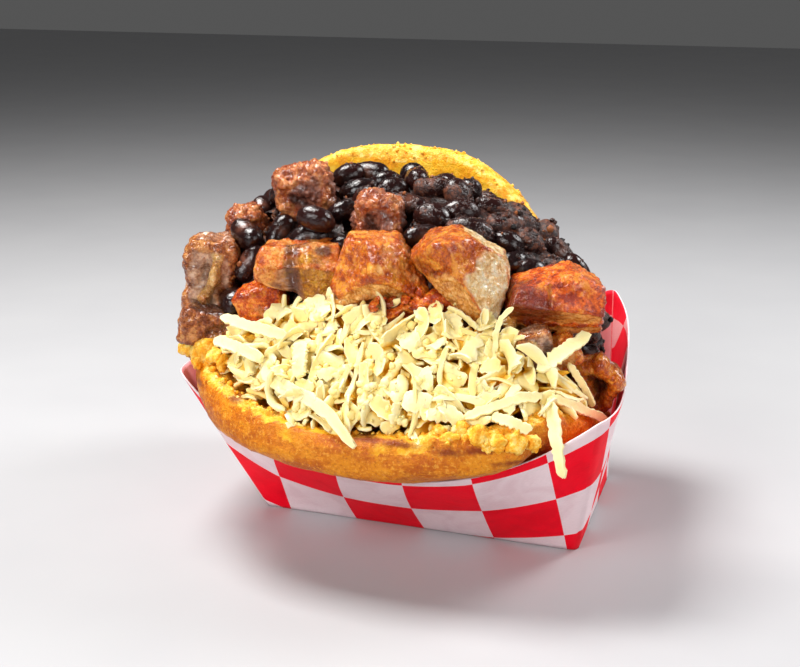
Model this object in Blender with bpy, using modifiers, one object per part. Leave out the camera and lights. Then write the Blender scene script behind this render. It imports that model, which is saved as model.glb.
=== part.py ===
"""A corn cake split and opened like a clam, stuffed with black beans, browned pork and beef, and grated white
cheese, standing in a folded paper food boat.

Metres, +Z up. The origin is the middle of the boat's base on the table. +X runs along the boat, +Y to the back.
Sizes below are millimetres and are scaled once, where a mesh is made.
"""

import math

import bmesh
import bpy
import numpy as np
from mathutils import Vector, noise

MM = 0.001
GAP = 0.35  # clearance left between neighbouring solids

# Paper boat
# base corners: front left, front right, rear right, rear left
BASE_CORNERS = ((-49.7, -31.4, 0.0), (49.7, -31.4, 0.0), (45.5, 31.4, 0.0), (-47.5, 31.4, 0.0))
SHEET = 0.6
# rim corners: front left, front right, rear right, rear left
RIM_CORNERS = ((-66.6, -50.9, 47.1), (61.0, -62.0, 50.0), (42.5, 43.0, 60.0), (-69.0, 44.0, 50.0))
RIM_DIP = (22.0, 4.0, 9.0, 3.0)  # how far each wall's rim sags in the middle: front, right, rear, left
RIM_BULGE = (6.0, 6.0, 2.0, 6.0)  # how far it is pushed outwards
BASE_CORNER_RADIUS, RIM_CORNER_RADIUS = 3.0, 2.5

# Corn cake
SHELL_HALF_THICKNESS = 6.2
HINGE_Y, HINGE_Z, HINGE_RADIUS = 11.0, 19.0, 12.0
FRONT_SLOPE, REAR_SLOPE = -21.0, 82.0  # degrees of the spine's heading before and after the hinge
FRONT_RUN, REAR_RUN = 92.0, 89.0  # straight length of spine in front of and above the hinge
FRONT_HALF_WIDTH, FRONT_RADIUS, FRONT_X = 64.0, 61.0, -5.5
REAR_HALF_WIDTH, REAR_RADIUS, REAR_X = 59.5, 60.0, -27.0
FRONT_CUP_LEFT, FRONT_CUP_RIGHT, HINGE_CUP, REAR_CUP = 23.0, 16.0, 4.0, 8.0
SQUARE_LEFT, SQUARE_RIGHT = 2.5, 3.2  # how square the front half's outline is on each side
LIP_THICKER, LIP_X, LIP_Y, LIP_REACH = 7.5, -57.0, -47.0, 20.0  # a thick torn place on the left of the lip

# Filling: height, left, right, front and rear edge of the mound
MOUND = (
    (5.0, -34.0, 22.0, 4.0, 17.0),
    (12.0, -42.0, 32.0, -12.0, 19.0),
    (22.0, -50.0, 41.0, -34.0, 20.5),
    (32.0, -58.0, 46.5, -60.0, 21.5),
    (40.0, -63.0, 50.0, -74.0, 22.5),
    (46.0, -66.0, 51.0, -72.5, 23.0),
    (55.0, -68.4, 50.4, -67.5, 24.0),
    (65.0, -71.0, 48.0, -57.5, 25.5),
    (75.0, -71.0, 44.5, -47.0, 26.5),
    (83.0, -68.0, 36.4, -40.0, 27.0),
    (90.0, -61.5, 23.4, -32.0, 25.0),
    (95.0, -52.0, 8.5, -22.0, 21.0),
    (99.0, -40.0, -4.5, -8.0, 16.0),
)
MOUND_TOP = (-22.0, 6.0, 101.0)
MOUND_SQUARENESS = 2.4
MOUND_SKEW = 0.35  # the front right corner reaches right by this much per millimetre forwards
CHEESE_TRIM = 7.0  # the cheese starts this much further in on the left
DIVIDE_TOP_Y, DIVIDE_TOP_Z, DIVIDE_LEAN = -49.0, 72.0, 0.18  # the face between cheese and beans


def smooth(x, low, high):
    t = np.clip((x - low) / (high - low), 0.0, 1.0)
    return t * t * (3 - 2 * t)


def lumps(points, size, seed):
    """Smooth noise in -1..1 at each point."""
    shift = Vector((seed * 7.31, seed * 3.77, seed * 5.13))
    return np.array([noise.noise(Vector(p) / size + shift) for p in np.asarray(points, float)])


# ---------------------------------------------------------------- meshes

# Colour and roughness of each material
MATERIALS = {
    "printed paper": ((0.70, 0.02, 0.04), 0.55),
    "corn dough": ((0.82, 0.42, 0.07), 0.60),
    "white cheese": ((0.92, 0.84, 0.52), 0.50),
    "black beans": ((0.035, 0.018, 0.020), 0.30),
    "browned pork": ((0.55, 0.24, 0.08), 0.40),
    "stewed beef": ((0.16, 0.07, 0.045), 0.45),
}


def material(label):
    found = bpy.data.materials.get(label)
    if found is None:
        found = bpy.data.materials.new(label)
        found.use_nodes = True
        shader = found.node_tree.nodes["Principled BSDF"]
        colour, roughness = MATERIALS[label]
        shader.inputs["Base Color"].default_value = (*colour, 1.0)
        shader.inputs["Roughness"].default_value = roughness
        shader.inputs["Metallic"].default_value = 0.0
    return found


def collection(label):
    found = bpy.data.collections.get(label)
    if found is None:
        found = bpy.data.collections.new(label)
        bpy.context.scene.collection.children.link(found)
    return found


def make_object(name, work, finish=None):
    """Turns a finished bmesh in millimetres into an object: a part if it has a finish, a cutter if it has none."""
    bmesh.ops.scale(work, vec=(MM, MM, MM), verts=work.verts)
    bmesh.ops.recalc_face_normals(work, faces=work.faces)
    if work.calc_volume(signed=True) < 0:
        bmesh.ops.reverse_faces(work, faces=work.faces)
    mesh = bpy.data.meshes.new(name)
    work.to_mesh(mesh)
    work.free()
    made = bpy.data.objects.new(name, mesh)
    if finish:
        mesh.materials.append(material(finish))
        mesh.shade_smooth()
        collection("stuffed corn cake").objects.link(made)
    else:
        made.hide_render = True
        made.display_type = "WIRE"
        collection("cutters").objects.link(made)
    return made


def moulded_ball(name, rings, ends, finish=None):
    """A UV ball whose rows take the given rings of points, from its first pole to its last."""
    levels, around = len(rings), len(rings[0])
    work = bmesh.new()
    bmesh.ops.create_uvsphere(work, u_segments=around, v_segments=levels + 1, radius=1.0)
    for vert in work.verts:
        x, y, z = vert.co
        level = round(math.acos(max(-1.0, min(1.0, -z))) / math.pi * (levels + 1))
        turn = round(math.atan2(y, x) / (2 * math.pi) * around) % around
        if level == 0:
            vert.co = ends[0]
        elif level == levels + 1:
            vert.co = ends[1]
        else:
            vert.co = rings[level - 1][turn]
    bmesh.ops.triangulate(work, faces=work.faces)
    return make_object(name, work, finish)


def keep_largest(work):
    """Drops every loose body but the one with the most volume."""
    work.verts.ensure_lookup_table()
    left, bodies = set(work.verts), []
    while left:
        stack, body = [left.pop()], []
        while stack:
            vert = stack.pop()
            body.append(vert)
            for edge in vert.link_edges:
                other = edge.other_vert(vert)
                if other in left:
                    left.remove(other)
                    stack.append(other)
        bodies.append(body)
    if len(bodies) < 2:
        return

    def volume(body):
        total, seen = 0.0, set()
        for vert in body:
            for face in vert.link_faces:
                if face.index not in seen:
                    seen.add(face.index)
                    a, b, c = (loop.vert.co for loop in face.loops[:3])
                    total += a.dot(b.cross(c))
        return total

    bodies.sort(key=volume)
    for body in bodies[:-1]:
        bmesh.ops.delete(work, geom=body, context="VERTS")


def box_of(obj):
    points = np.array([v.co for v in obj.data.vertices])
    return points.min(axis=0), points.max(axis=0)


def carve(target, cutters):
    """Cuts each cutter that reaches the target out of it and keeps the largest body left."""
    low, high = box_of(target)
    for cutter in cutters:
        cut_low, cut_high = box_of(cutter)
        if (cut_low > high).any() or (cut_high < low).any():
            continue
        step = target.modifiers.new("cut", "BOOLEAN")
        step.operation, step.solver, step.object = "DIFFERENCE", "EXACT", cutter
        graph = bpy.context.evaluated_depsgraph_get()
        result = bpy.data.meshes.new_from_object(target.evaluated_get(graph))
        target.modifiers.clear()
        work = bmesh.new()
        work.from_mesh(result)
        bmesh.ops.triangulate(work, faces=work.faces)
        work.faces.index_update()
        keep_largest(work)
        work.to_mesh(result)
        work.free()
        old, target.data = target.data, result
        bpy.data.meshes.remove(old)


# ---------------------------------------------------------------- paper boat


OUTWARD = ((0.0, -1.0, 0.0), (1.0, 0.0, 0.0), (0.0, 1.0, 0.0), (-1.0, 0.0, 0.0))


def wall_ends(side, t):
    """Points on the base edge and on the rim of one wall, at shares t of the way along it."""
    t = np.atleast_1d(t)[:, None]
    low_a, low_b = np.array(BASE_CORNERS[side]), np.array(BASE_CORNERS[(side + 1) % 4])
    high_a, high_b = np.array(RIM_CORNERS[side]), np.array(RIM_CORNERS[(side + 1) % 4])
    across = 2 * t - 1
    high = high_a + (high_b - high_a) * t - np.array((0, 0, 1)) * RIM_DIP[side] * (1 - abs(across) ** 2.2)
    high = high + np.array(OUTWARD[side]) * RIM_BULGE[side] * (1 - abs(across) ** 4)
    return low_a + (low_b - low_a) * t, high


def boat_loop(rise):
    """Points round the boat's outside, anticlockwise from above, at a share of the way from base to rim."""
    corner = BASE_CORNER_RADIUS + (RIM_CORNER_RADIUS - BASE_CORNER_RADIUS) * rise
    points = []
    for side in range(4):
        low, high = wall_ends(side, np.array((0.0, 1.0)))
        ends = low + (high - low) * rise
        inset = corner / np.linalg.norm(ends[1] - ends[0])
        low, high = wall_ends(side, inset + (1 - 2 * inset) * np.linspace(0.0, 1.0, 10))
        points.extend(low + (high - low) * rise)
        # the rounded fold to the next side
        turn = np.array(OUTWARD[side]) + np.array(OUTWARD[(side + 1) % 4])
        points.append(ends[1] - turn * corner * 0.29)
    return np.array(points)


def paper_tray():
    """An open sheet, its base one face and its walls a loft, made solid inwards to the paper's thickness."""
    work = bmesh.new()
    loops = [[work.verts.new(p) for p in boat_loop(rise)] for rise in (0.0, 0.5, 1.0)]
    around = len(loops[0])
    work.faces.new(loops[0][::-1])
    for low, high in zip(loops, loops[1:]):
        for k in range(around):
            n = (k + 1) % around
            work.faces.new((low[k], low[n], high[n], high[k]))
    bmesh.ops.scale(work, vec=(MM, MM, MM), verts=work.verts)
    mesh = bpy.data.meshes.new("paper_tray")
    work.to_mesh(mesh)
    work.free()
    mesh.materials.append(material("printed paper"))
    tray = bpy.data.objects.new("paper_tray", mesh)
    collection("stuffed corn cake").objects.link(tray)
    sheet = tray.modifiers.new("sheet", "SOLIDIFY")
    sheet.thickness, sheet.offset, sheet.use_even_offset = SHEET * MM, -1.0, True
    return tray


def wall_at(side, along, z):
    """How far out one wall reaches, at a place along it and a height. Above the rim its lean goes on a little."""
    axis = side % 2
    t = np.full(len(z), 0.5)
    for _ in range(10):
        low, high = wall_ends(side, t)
        rise = np.clip(z / high[:, 2], 0, 1.15)
        here = low + (high - low) * rise[:, None]
        low_ends, high_ends = wall_ends(side, np.array((0.0, 1.0)))
        span = (low_ends[1] - low_ends[0])[axis] * (1 - rise) + (high_ends[1] - high_ends[0])[axis] * rise
        t = np.clip(t + (along - here[:, axis]) / span, 0, 1)
    return here[:, 1 - axis]


def inside_boat(points, margin):
    """Points moved to stay inside the paper walls, and up off the front wall, on whose rim the cake rests."""
    moved = np.array(points, float)
    x, y, z = moved.T
    right = wall_at(1, y, z) - margin
    left = wall_at(3, y, z) + margin
    x = np.minimum(np.maximum(x, left), right)
    y = np.minimum(y, wall_at(2, x, z) - margin)
    t = np.full(len(x), 0.5)
    for _ in range(10):
        low, high = wall_ends(0, t)
        rise = np.clip((low[:, 1] - y) / (low[:, 1] - high[:, 1]), 0, 1.3)
        here = low + (high - low) * np.minimum(rise, 1)[:, None]
        t = np.clip(t + (x - here[:, 0]) / 115.0, 0, 1)
    floor = here[:, 2] - np.maximum(rise - 1, 0) * 40 + margin * 1.7
    z = np.where((rise > 0) & (rise < 1.3), np.maximum(z, floor), z)
    return np.stack((x, y, z), axis=1)


# ---------------------------------------------------------------- corn cake


def spine(s):
    """(y, z, heading in radians) along the middle of the opened cake, from the front lip to the top of the back."""
    start, end = math.radians(FRONT_SLOPE), math.radians(REAR_SLOPE)
    bend = HINGE_RADIUS * (end - start)
    if s < FRONT_RUN:
        y, z = HINGE_Y + HINGE_RADIUS * math.sin(start), HINGE_Z - HINGE_RADIUS * math.cos(start)
        back = FRONT_RUN - s
        return y - back * math.cos(start), z - back * math.sin(start), start
    if s < FRONT_RUN + bend:
        angle = start + (s - FRONT_RUN) / HINGE_RADIUS
        return HINGE_Y + HINGE_RADIUS * math.sin(angle), HINGE_Z - HINGE_RADIUS * math.cos(angle), angle
    y, z = HINGE_Y + HINGE_RADIUS * math.sin(end), HINGE_Z - HINGE_RADIUS * math.cos(end)
    on = s - FRONT_RUN - bend
    return y + on * math.cos(end), z + on * math.sin(end), end


def spine_length():
    return FRONT_RUN + HINGE_RADIUS * math.radians(REAR_SLOPE - FRONT_SLOPE) + REAR_RUN


def cake_half_width(s, square):
    def disc(centre, radius, half, power):
        off = abs(s - centre) / radius
        return half * max(0.0, 1 - off**power) ** (1 / power)

    front = disc(FRONT_RADIUS, FRONT_RADIUS, FRONT_HALF_WIDTH, square)
    rear = disc(spine_length() - REAR_RADIUS, REAR_RADIUS, REAR_HALF_WIDTH, 2.05)
    return (front**6 + rear**6) ** (1 / 6) if min(front, rear) > 0 else max(front, rear)


def cake_ring(s, grow, across, turn):
    """One closed loop round the slab at station s: flat top and bottom with half-round sides."""
    y, z, heading = spine(s)
    length = spine_length()
    to_end = min(s, length - s)
    h = SHELL_HALF_THICKNESS
    if to_end < h:
        h *= math.sqrt(max(0.0, 1 - (1 - to_end / h) ** 2))
    h += grow
    halves = [cake_half_width(s, square) + grow for square in (SQUARE_LEFT, SQUARE_RIGHT)]
    bend = FRONT_RUN + HINGE_RADIUS * math.radians(REAR_SLOPE - FRONT_SLOPE)
    share = float(smooth(s, FRONT_RUN - 30, bend + 20))
    centre = FRONT_X + (REAR_X - FRONT_X) * share
    to_hinge = float(smooth(s, FRONT_RUN - 40, FRONT_RUN + 4))
    up_back = (REAR_CUP - HINGE_CUP) * float(smooth(s, bend, bend + 40))
    cups = [cup + (HINGE_CUP - cup) * to_hinge + up_back for cup in (FRONT_CUP_LEFT, FRONT_CUP_RIGHT)]
    ups = np.linspace(-math.pi / 2, math.pi / 2, turn)[1:-1]
    loop = [(t, -1.0, 0.0) for t in np.linspace(-1, 1, across)]
    loop += [(1.0, math.sin(a), math.cos(a)) for a in ups]
    loop += [(-t, 1.0, 0.0) for t in np.linspace(-1, 1, across)]
    loop += [(-1.0, math.sin(a), -math.cos(a)) for a in ups[::-1]]
    out = []
    for t, side, outer in loop:
        half = halves[int(t > 0)]
        flat = max(half - h, half * 0.25)
        x = flat * t + outer * (half - flat)
        share_x = abs(x) / FRONT_HALF_WIDTH
        belly = max(0.0, 1 - (x / max(half, 1)) ** 2)
        deep = h * (1 + 0.16 * belly) if side < 0 else h * (1 - 0.12 * belly)
        offset = side * deep + cups[int(t > 0)] * share_x**2.3
        if side > 0:
            near = math.hypot(centre + x - LIP_X, y - LIP_Y) / LIP_REACH
            offset += LIP_THICKER * side * max(0.0, 1 - near * near) ** 2 * h / SHELL_HALF_THICKNESS
        out.append((centre + x, y - offset * math.sin(heading), z + offset * math.cos(heading)))
    return out


def cake_rings(grow=0.0, stations=34, across=9, turn=5):
    length = spine_length()
    share = np.linspace(0, 1, stations + 2)[1:-1]
    # closer together at both ends, where the lips are round
    share = share - 0.12 * np.sin(2 * math.pi * share) / (2 * math.pi) * 2.2
    places = share * (length - 0.8) + 0.4
    rings = [cake_ring(s, grow, across, turn) for s in places]
    ends = []
    for s, sign in ((0.0, -1), (length, 1)):
        y, z, heading = spine(s)
        x = FRONT_X if s == 0 else REAR_X
        reach = sign * grow
        ends.append((x, y + reach * math.cos(heading), z + reach * math.sin(heading)))
    return rings, ends


def uneven(points, grow):
    """A hand-made edge and faces, kept inside the paper and off its base."""
    shape = points.shape
    points = points.reshape(-1, 3).copy()
    up = 0.9 * lumps(points, 22.0, 1) + 0.5 * lumps(points, 9.0, 2)
    back, side = 0.6 * lumps(points, 16.0, 3), 0.8 * lumps(points, 18.0, 4)
    points += np.stack((side, back, up), axis=1)
    points = inside_boat(points, 1.9 - grow)
    points[:, 2] = np.maximum(points[:, 2], SHEET + GAP - grow)
    return points.reshape(shape)


def corn_cake(name, finish=None, grow=0.0):
    rings, ends = cake_rings(grow)
    return moulded_ball(name, uneven(np.array(rings), grow), uneven(np.array(ends), grow), finish)


# ---------------------------------------------------------------- filling


def mound_section(z):
    table = np.array(MOUND)
    return [float(np.interp(z, table[:, 0], table[:, i])) for i in (1, 2, 3, 4)]


def mound(name, finish, seed, rough, size, skewed, trim, around=34, levels=14):
    table = np.array(MOUND)
    heights = np.interp(np.linspace(0, len(MOUND) - 1, levels), range(len(MOUND)), table[:, 0])
    rings = []
    for z in heights:
        left, right, front, rear = mound_section(z)
        left += trim
        cx, cy, ax, ay = (left + right) / 2, (front + rear) / 2, (right - left) / 2, (rear - front) / 2
        for k in range(around):
            angle = 2 * math.pi * k / around
            c, s = math.cos(angle), math.sin(angle)
            reach = (abs(c) ** MOUND_SQUARENESS + abs(s) ** MOUND_SQUARENESS) ** (-1 / MOUND_SQUARENESS)
            skew = skewed * max(0.0, -ay * s * reach) * max(0.0, c)
            rings.append((cx + ax * c * reach + skew, cy + ay * s * reach, z))
    bottom = ((MOUND[0][1] + MOUND[0][2]) / 2, (MOUND[0][3] + MOUND[0][4]) / 2, MOUND[0][0] - 1.5)
    points = np.array([bottom, *rings, MOUND_TOP])
    middle = np.array((-10.0, -12.0, 50.0))
    outward = points - middle
    outward /= np.linalg.norm(outward, axis=1)[:, None]
    bump = rough * (lumps(points, size, seed) + 0.6 * lumps(points, size * 0.55, seed + 1))
    points = points + outward * bump[:, None]
    points = inside_boat(points, 1.6)
    return moulded_ball(name, points[1:-1].reshape(levels, around, 3), (points[0], points[-1]), finish)


def divider(name, front, margin):
    """A block on one side of the face between cheese and beans, used only to cut."""
    size = 160.0
    work = bmesh.new()
    bmesh.ops.create_cube(work, size=size)
    for vert in work.verts:
        face_y = DIVIDE_TOP_Y + (DIVIDE_TOP_Z - vert.co.z - 50) * DIVIDE_LEAN
        far = vert.co.y + size / 2 if front is False else vert.co.y - size / 2
        vert.co.y = face_y + far + (margin if front else -margin)
        vert.co.z += 50
        vert.co.x *= 1.5
    return make_object(name, work)


# ---------------------------------------------------------------- meat

# Each piece: centre, then the flat faces that bound it as (direction, distance). A direction is degrees round the
# face turned to the front right (0 right, 90 up), with an optional lean towards that front.
FACING = math.radians(20.0)


def normal_of(around, lean=0.0):
    a, b = math.radians(around), math.radians(lean)
    return np.array((math.cos(a) * math.cos(b), -math.sin(b), math.sin(a) * math.cos(b)))


def block(width, depth, height, tilt=0.0):
    """Six faces of a box given by half sizes, turned by tilt degrees."""
    return (
        (tilt, 0, width), (tilt + 180, 0, width), (tilt + 90, 0, height), (tilt + 270, 0, height),
        (0, 90, depth), (0, -90, depth),
    )


MEAT = {
    "pork_big": ((-5.6, -43.5, 80.5), 12, 5, 0.5, (
        (88, 0, 9.6), (160, 0, 12.2), (225, 0, 12.8), (270, 0, 10.4), (-55, 0, 11.0), (33, 0, 8.8),
        (30, 42, 9.4), (160, 45, 10.5), (262, 50, 9.0), (0, 90, 11.5), (0, -90, 12.0),
    )),
    "pork_pale": ((17.7, -42.5, 79.4), 12, 5, 0.5, (
        (135, 0, 15.0), (95, 0, 13.6), (60, 0, 11.8), (10, 0, 13.0), (-24, 0, 12.0), (-75, 0, 15.4), (221, 0, 6.4),
        (25, 50, 9.0), (215, 45, 7.0), (0, 90, 11.0), (0, -90, 12.0),
    )),
    "pork_crisp": ((40.6, -34.0, 74.6), 12, 5, 0.5, (
        (105, 0, 7.3), (65, 0, 10.2), (0, 0, 13.2), (270, 0, 8.6), (155, 0, 11.5), (205, 0, 12.6),
        (80, 60, 10.5), (265, 45, 8.6), (0, -90, 10.0),
    )),
    "pork_step": ((-31.6, -42.5, 79.7), 10, 5, 0.6, (
        (92, 0, 6.7), (0, 0, 12.0), (-30, 0, 11.8), (-75, 0, 9.0), (250, 0, 5.8), (180, 0, 11.8), (150, 0, 11.2),
        (88, 45, 7.4), (0, 90, 8.6), (0, -90, 9.0),
    )),
    "pork_left": ((-62.7, -36.0, 73.2), 6, 5, 1.1, block(7.8, 8.0, 11.8, -6)),
    "pork_low": ((-58.8, -45.2, 60.7), 6, 4, 0.8, block(8.6, 7.5, 5.8, -14)),
    "pork_nub": ((-41.2, -46.3, 70.1), 6, 4, 0.6, block(7.6, 6.5, 5.2, 22)),
    "pork_scrap": ((-62.0, -45.5, 53.7), 5, 3, 0.8, block(4.6, 4.2, 3.4, 20)),
    "pork_grey": ((39.8, -46.5, 63.3), 6, 4, 0.7, block(4.8, 5.0, 6.0, 12)),
    "pork_small": ((45.4, -41.5, 62.0), 6, 3, 0.7, block(4.8, 4.6, 4.6, 30)),
    "pork_curl": ((51.3, -31.0, 50.5), 5, 4, 0.9, block(6.0, 5.5, 7.0, -12)),
    "crackling": ((5.9, -45.0, 71.3), 5, 5, 1.2, block(12.0, 5.0, 3.6, 16)),
    "beef_top": ((-41.0, -16.0, 97.0), 4, 4, 1.2, block(8.6, 8.2, 8.2, 10)),
    "beef_mid": ((-14.6, -23.3, 91.8), 4, 4, 1.1, block(7.2, 7.0, 7.4, -10)),
    "beef_side": ((-56.5, -22.4, 85.8), 4, 4, 1.1, block(6.0, 6.0, 7.2, 20)),
}


def cube_ball(n):
    """A cube cut n by n on each side and blown up to a ball, as a bmesh."""
    work = bmesh.new()
    bmesh.ops.create_cube(work, size=2.0)
    bmesh.ops.subdivide_edges(work, edges=work.edges, cuts=n - 1, use_grid_fill=True)
    for vert in work.verts:
        vert.co = Vector([math.tan(c * math.pi / 4) for c in vert.co]).normalized()
    return work


def chunk_points(name, directions, grow):
    """The piece's surface: a ball pressed flat by each face, its corners rounded by the sharpness, then roughened."""
    centre, sharpness, _, rough, bounds = MEAT[name]
    total = np.zeros(len(directions))
    for around, lean, distance in bounds:
        facing = np.maximum(directions @ normal_of(around, lean), 0.0)
        total += (facing / distance) ** sharpness
    reach = total ** (-1.0 / sharpness)
    seed = 11 + sorted(MEAT).index(name)
    surface = directions * reach[:, None]
    reach = reach + rough * (lumps(surface, 7.0, seed) + 0.5 * lumps(surface, 3.4, seed + 40)) + grow
    surface = directions * reach[:, None]
    c, s = math.cos(FACING), math.sin(FACING)
    turned = np.stack(
        (surface[:, 0] * c - surface[:, 1] * s, surface[:, 0] * s + surface[:, 1] * c, surface[:, 2]), axis=1
    )
    return turned + np.array(centre)


def chunk(name, finish=None, grow=0.0):
    work = cube_ball(MEAT[name][2])
    for vert, point in zip(work.verts, chunk_points(name, np.array([v.co for v in work.verts]), grow)):
        vert.co = point
    bmesh.ops.triangulate(work, faces=work.faces)
    return make_object(name if finish else name + "_cutter", work, finish)


def main():
    bpy.data.objects.remove(bpy.data.objects["Cube"])
    paper_tray()
    corn_cake("arepa", "corn dough")
    cake_cutter = corn_cake("cake_cutter", grow=GAP)
    cutters = {name: chunk(name, grow=GAP) for name in MEAT}
    done = []
    for name in MEAT:
        piece = chunk(name, "stewed beef" if name.startswith("beef") else "browned pork")
        carve(piece, [cutters[other] for other in done] + [cake_cutter])
        done.append(name)
    cheese = mound("cheese_heap", "white cheese", 5, 1.4, 9.0, MOUND_SKEW, CHEESE_TRIM)
    beans = mound("bean_heap", "black beans", 8, 2.2, 11.0, 0.0, 0.0)
    carve(cheese, [divider("behind", False, GAP / 2), cake_cutter, *cutters.values()])
    carve(beans, [divider("ahead", True, GAP / 2), cake_cutter, *cutters.values()])


main()
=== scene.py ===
"""The looks of a stuffed corn cake in a folded paper food boat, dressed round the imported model.

Lengths are millimetres in the model's own axes and are scaled once, where a mesh is made.
Colours are sRGB, 0-255.
"""

import math

import bmesh
import bpy
import numpy as np
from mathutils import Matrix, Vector, noise
from mathutils.bvhtree import BVHTree
from mathutils.kdtree import KDTree


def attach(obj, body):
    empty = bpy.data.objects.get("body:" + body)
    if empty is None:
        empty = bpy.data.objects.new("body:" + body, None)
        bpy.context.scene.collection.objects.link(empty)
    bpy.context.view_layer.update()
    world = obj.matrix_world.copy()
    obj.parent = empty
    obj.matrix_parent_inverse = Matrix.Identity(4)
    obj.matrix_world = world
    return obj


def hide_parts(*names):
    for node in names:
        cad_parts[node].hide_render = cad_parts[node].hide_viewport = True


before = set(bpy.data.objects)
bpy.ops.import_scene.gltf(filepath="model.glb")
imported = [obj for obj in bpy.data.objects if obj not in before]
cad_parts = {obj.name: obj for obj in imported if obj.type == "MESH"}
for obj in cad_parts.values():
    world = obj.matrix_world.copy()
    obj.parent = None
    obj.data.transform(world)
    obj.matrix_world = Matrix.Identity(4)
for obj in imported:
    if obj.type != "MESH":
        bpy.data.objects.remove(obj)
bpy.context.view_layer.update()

MM = 0.001
FACING = math.radians(20.0)  # the filled side faces this far round to the right
RIGHTWARD = np.array((math.cos(FACING), math.sin(FACING), 0.0))
UPWARD = np.array((0.0, 0.0, 1.0))

# ---------------------------------------------------------------- numbers and noise


def srgb(red, green, blue):
    linear = [c / 3294.6 if c < 10.3 else ((c / 255 + 0.055) / 1.055) ** 2.4 for c in (red, green, blue)]
    return (*linear, 1.0)


def smooth(x, low, high):
    t = np.clip((x - low) / (high - low), 0.0, 1.0)
    return t * t * (3 - 2 * t)


def lumps(points, size, seed):
    """Smooth noise in -1..1 at each point."""
    shift = Vector((seed * 7.31, seed * 3.77, seed * 5.13))
    return np.array([noise.noise(Vector(p) / size + shift) for p in np.asarray(points, float)])


def grains(points, size, seed):
    """Rounded grains: 1 at the middle of each, 0 where two meet."""
    shift = Vector((seed * 5.17, seed * 9.71, seed * 2.93))
    found = np.array([noise.voronoi(Vector(p) / size + shift)[0][:2] for p in np.asarray(points, float)])
    return np.clip((found[:, 1] - found[:, 0]) * 1.6, 0.0, 1.0) ** 0.6


def unit(vectors):
    return vectors / np.maximum(np.linalg.norm(vectors, axis=-1, keepdims=True), 1e-9)


# ---------------------------------------------------------------- meshes


def mesh_of(name, points, faces):
    """A mesh from points in millimetres and lists of faces, each list an array of triangles or of quads."""
    groups = faces if isinstance(faces, list) else [faces]
    corners = np.concatenate([np.asarray(f).ravel() for f in groups]).astype(np.int32)
    sizes = np.concatenate([np.full(len(f), np.asarray(f).shape[1]) for f in groups])
    mesh = bpy.data.meshes.new(name)
    mesh.vertices.add(len(points))
    mesh.vertices.foreach_set("co", (np.asarray(points) * MM).astype(np.float32).ravel())
    mesh.loops.add(len(corners))
    mesh.loops.foreach_set("vertex_index", corners)
    mesh.polygons.add(len(sizes))
    mesh.polygons.foreach_set("loop_start", (np.cumsum(sizes) - sizes).astype(np.int32))
    mesh.update(calc_edges=True)
    mesh.validate()
    return mesh


def link(name, mesh):
    made = bpy.data.objects.new(name, mesh)
    bpy.context.scene.collection.objects.link(made)
    return made


def dress(name, points, faces, materials, nodes=(), finish=None):
    """A piece of the food: its mesh, its materials and where the frame holds it.

    The finish is three shares a point.
    """
    mesh = mesh_of(name, points, faces)
    for made in materials if isinstance(materials, list) else [materials]:
        mesh.materials.append(made)
    if finish is not None:
        layer = mesh.attributes.new("finish", "FLOAT_COLOR", "POINT")
        full = np.ones((len(points), 4), np.float32)
        full[:, :3] = np.clip(finish, 0, 1)
        layer.data.foreach_set("color", full.ravel())
    mesh.shade_smooth()
    piece = link(name, mesh)
    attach(piece, "root")
    if nodes:
        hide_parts(*nodes)
    return piece


def read(mesh):
    """Points in millimetres and faces, as triangles."""
    mesh.calc_loop_triangles()
    points = np.empty(len(mesh.vertices) * 3, np.float32)
    mesh.vertices.foreach_get("co", points)
    faces = np.empty(len(mesh.loop_triangles) * 3, np.int32)
    mesh.loop_triangles.foreach_get("vertices", faces)
    return points.reshape(-1, 3).astype(float) / MM, faces.reshape(-1, 3)


def remeshed(points, faces, voxel):
    """The same closed surface in even quads."""
    body = link("even", mesh_of("even", points, faces))
    step = body.modifiers.new("even", "REMESH")
    step.mode, step.voxel_size = "VOXEL", voxel * MM
    mesh = bpy.data.meshes.new_from_object(body.evaluated_get(bpy.context.evaluated_depsgraph_get()))
    even = np.empty(len(mesh.vertices) * 3, np.float32)
    mesh.vertices.foreach_get("co", even)
    quads = np.empty(len(mesh.polygons) * 4, np.int32)
    mesh.polygons.foreach_get("vertices", quads)
    bpy.data.objects.remove(body)
    bpy.data.meshes.remove(mesh)
    return even.reshape(-1, 3).astype(float) / MM, quads.reshape(-1, 4)


def normals(points, faces):
    a, b, c = (points[faces[:, k]] for k in (0, 1, 2))
    across = np.cross(b - a, c - a)
    total = np.zeros_like(points)
    for k in range(faces.shape[1]):
        for axis in range(3):
            total[:, axis] += np.bincount(faces[:, k], across[:, axis], len(points))
    return unit(total)


def relaxed(points, faces, rounds):
    """Each point moved halfway to the mean of its neighbours, several times over."""
    ends = np.concatenate([np.stack((faces[:, k], np.roll(faces, -1, axis=1)[:, k]), 1)
        for k in range(faces.shape[1])])
    count = np.bincount(ends[:, 0], minlength=len(points))[:, None]
    for _ in range(rounds):
        around = np.stack([np.bincount(ends[:, 0], points[ends[:, 1], k], len(points)) for k in range(3)], 1)
        points = (points + around / np.maximum(count, 1)) / 2
    return points


def loft(rings, ends):
    """Points and faces of a closed tube through rings of equal length, with a point at each end."""
    levels, around = rings.shape[:2]
    points = np.concatenate((rings.reshape(-1, 3), np.asarray(ends)))
    k = np.arange(around)
    n = (k + 1) % around
    quads = [np.stack((k, n, n + around, k + around), 1) + level * around for level in range(levels - 1)]
    last = (levels - 1) * around
    caps = np.concatenate((
        np.stack((n, k, np.full(around, levels * around)), 1),
        np.stack((k + last, n + last, np.full(around, levels * around + 1)), 1),
    ))
    return points, [np.concatenate(quads), caps]


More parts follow.
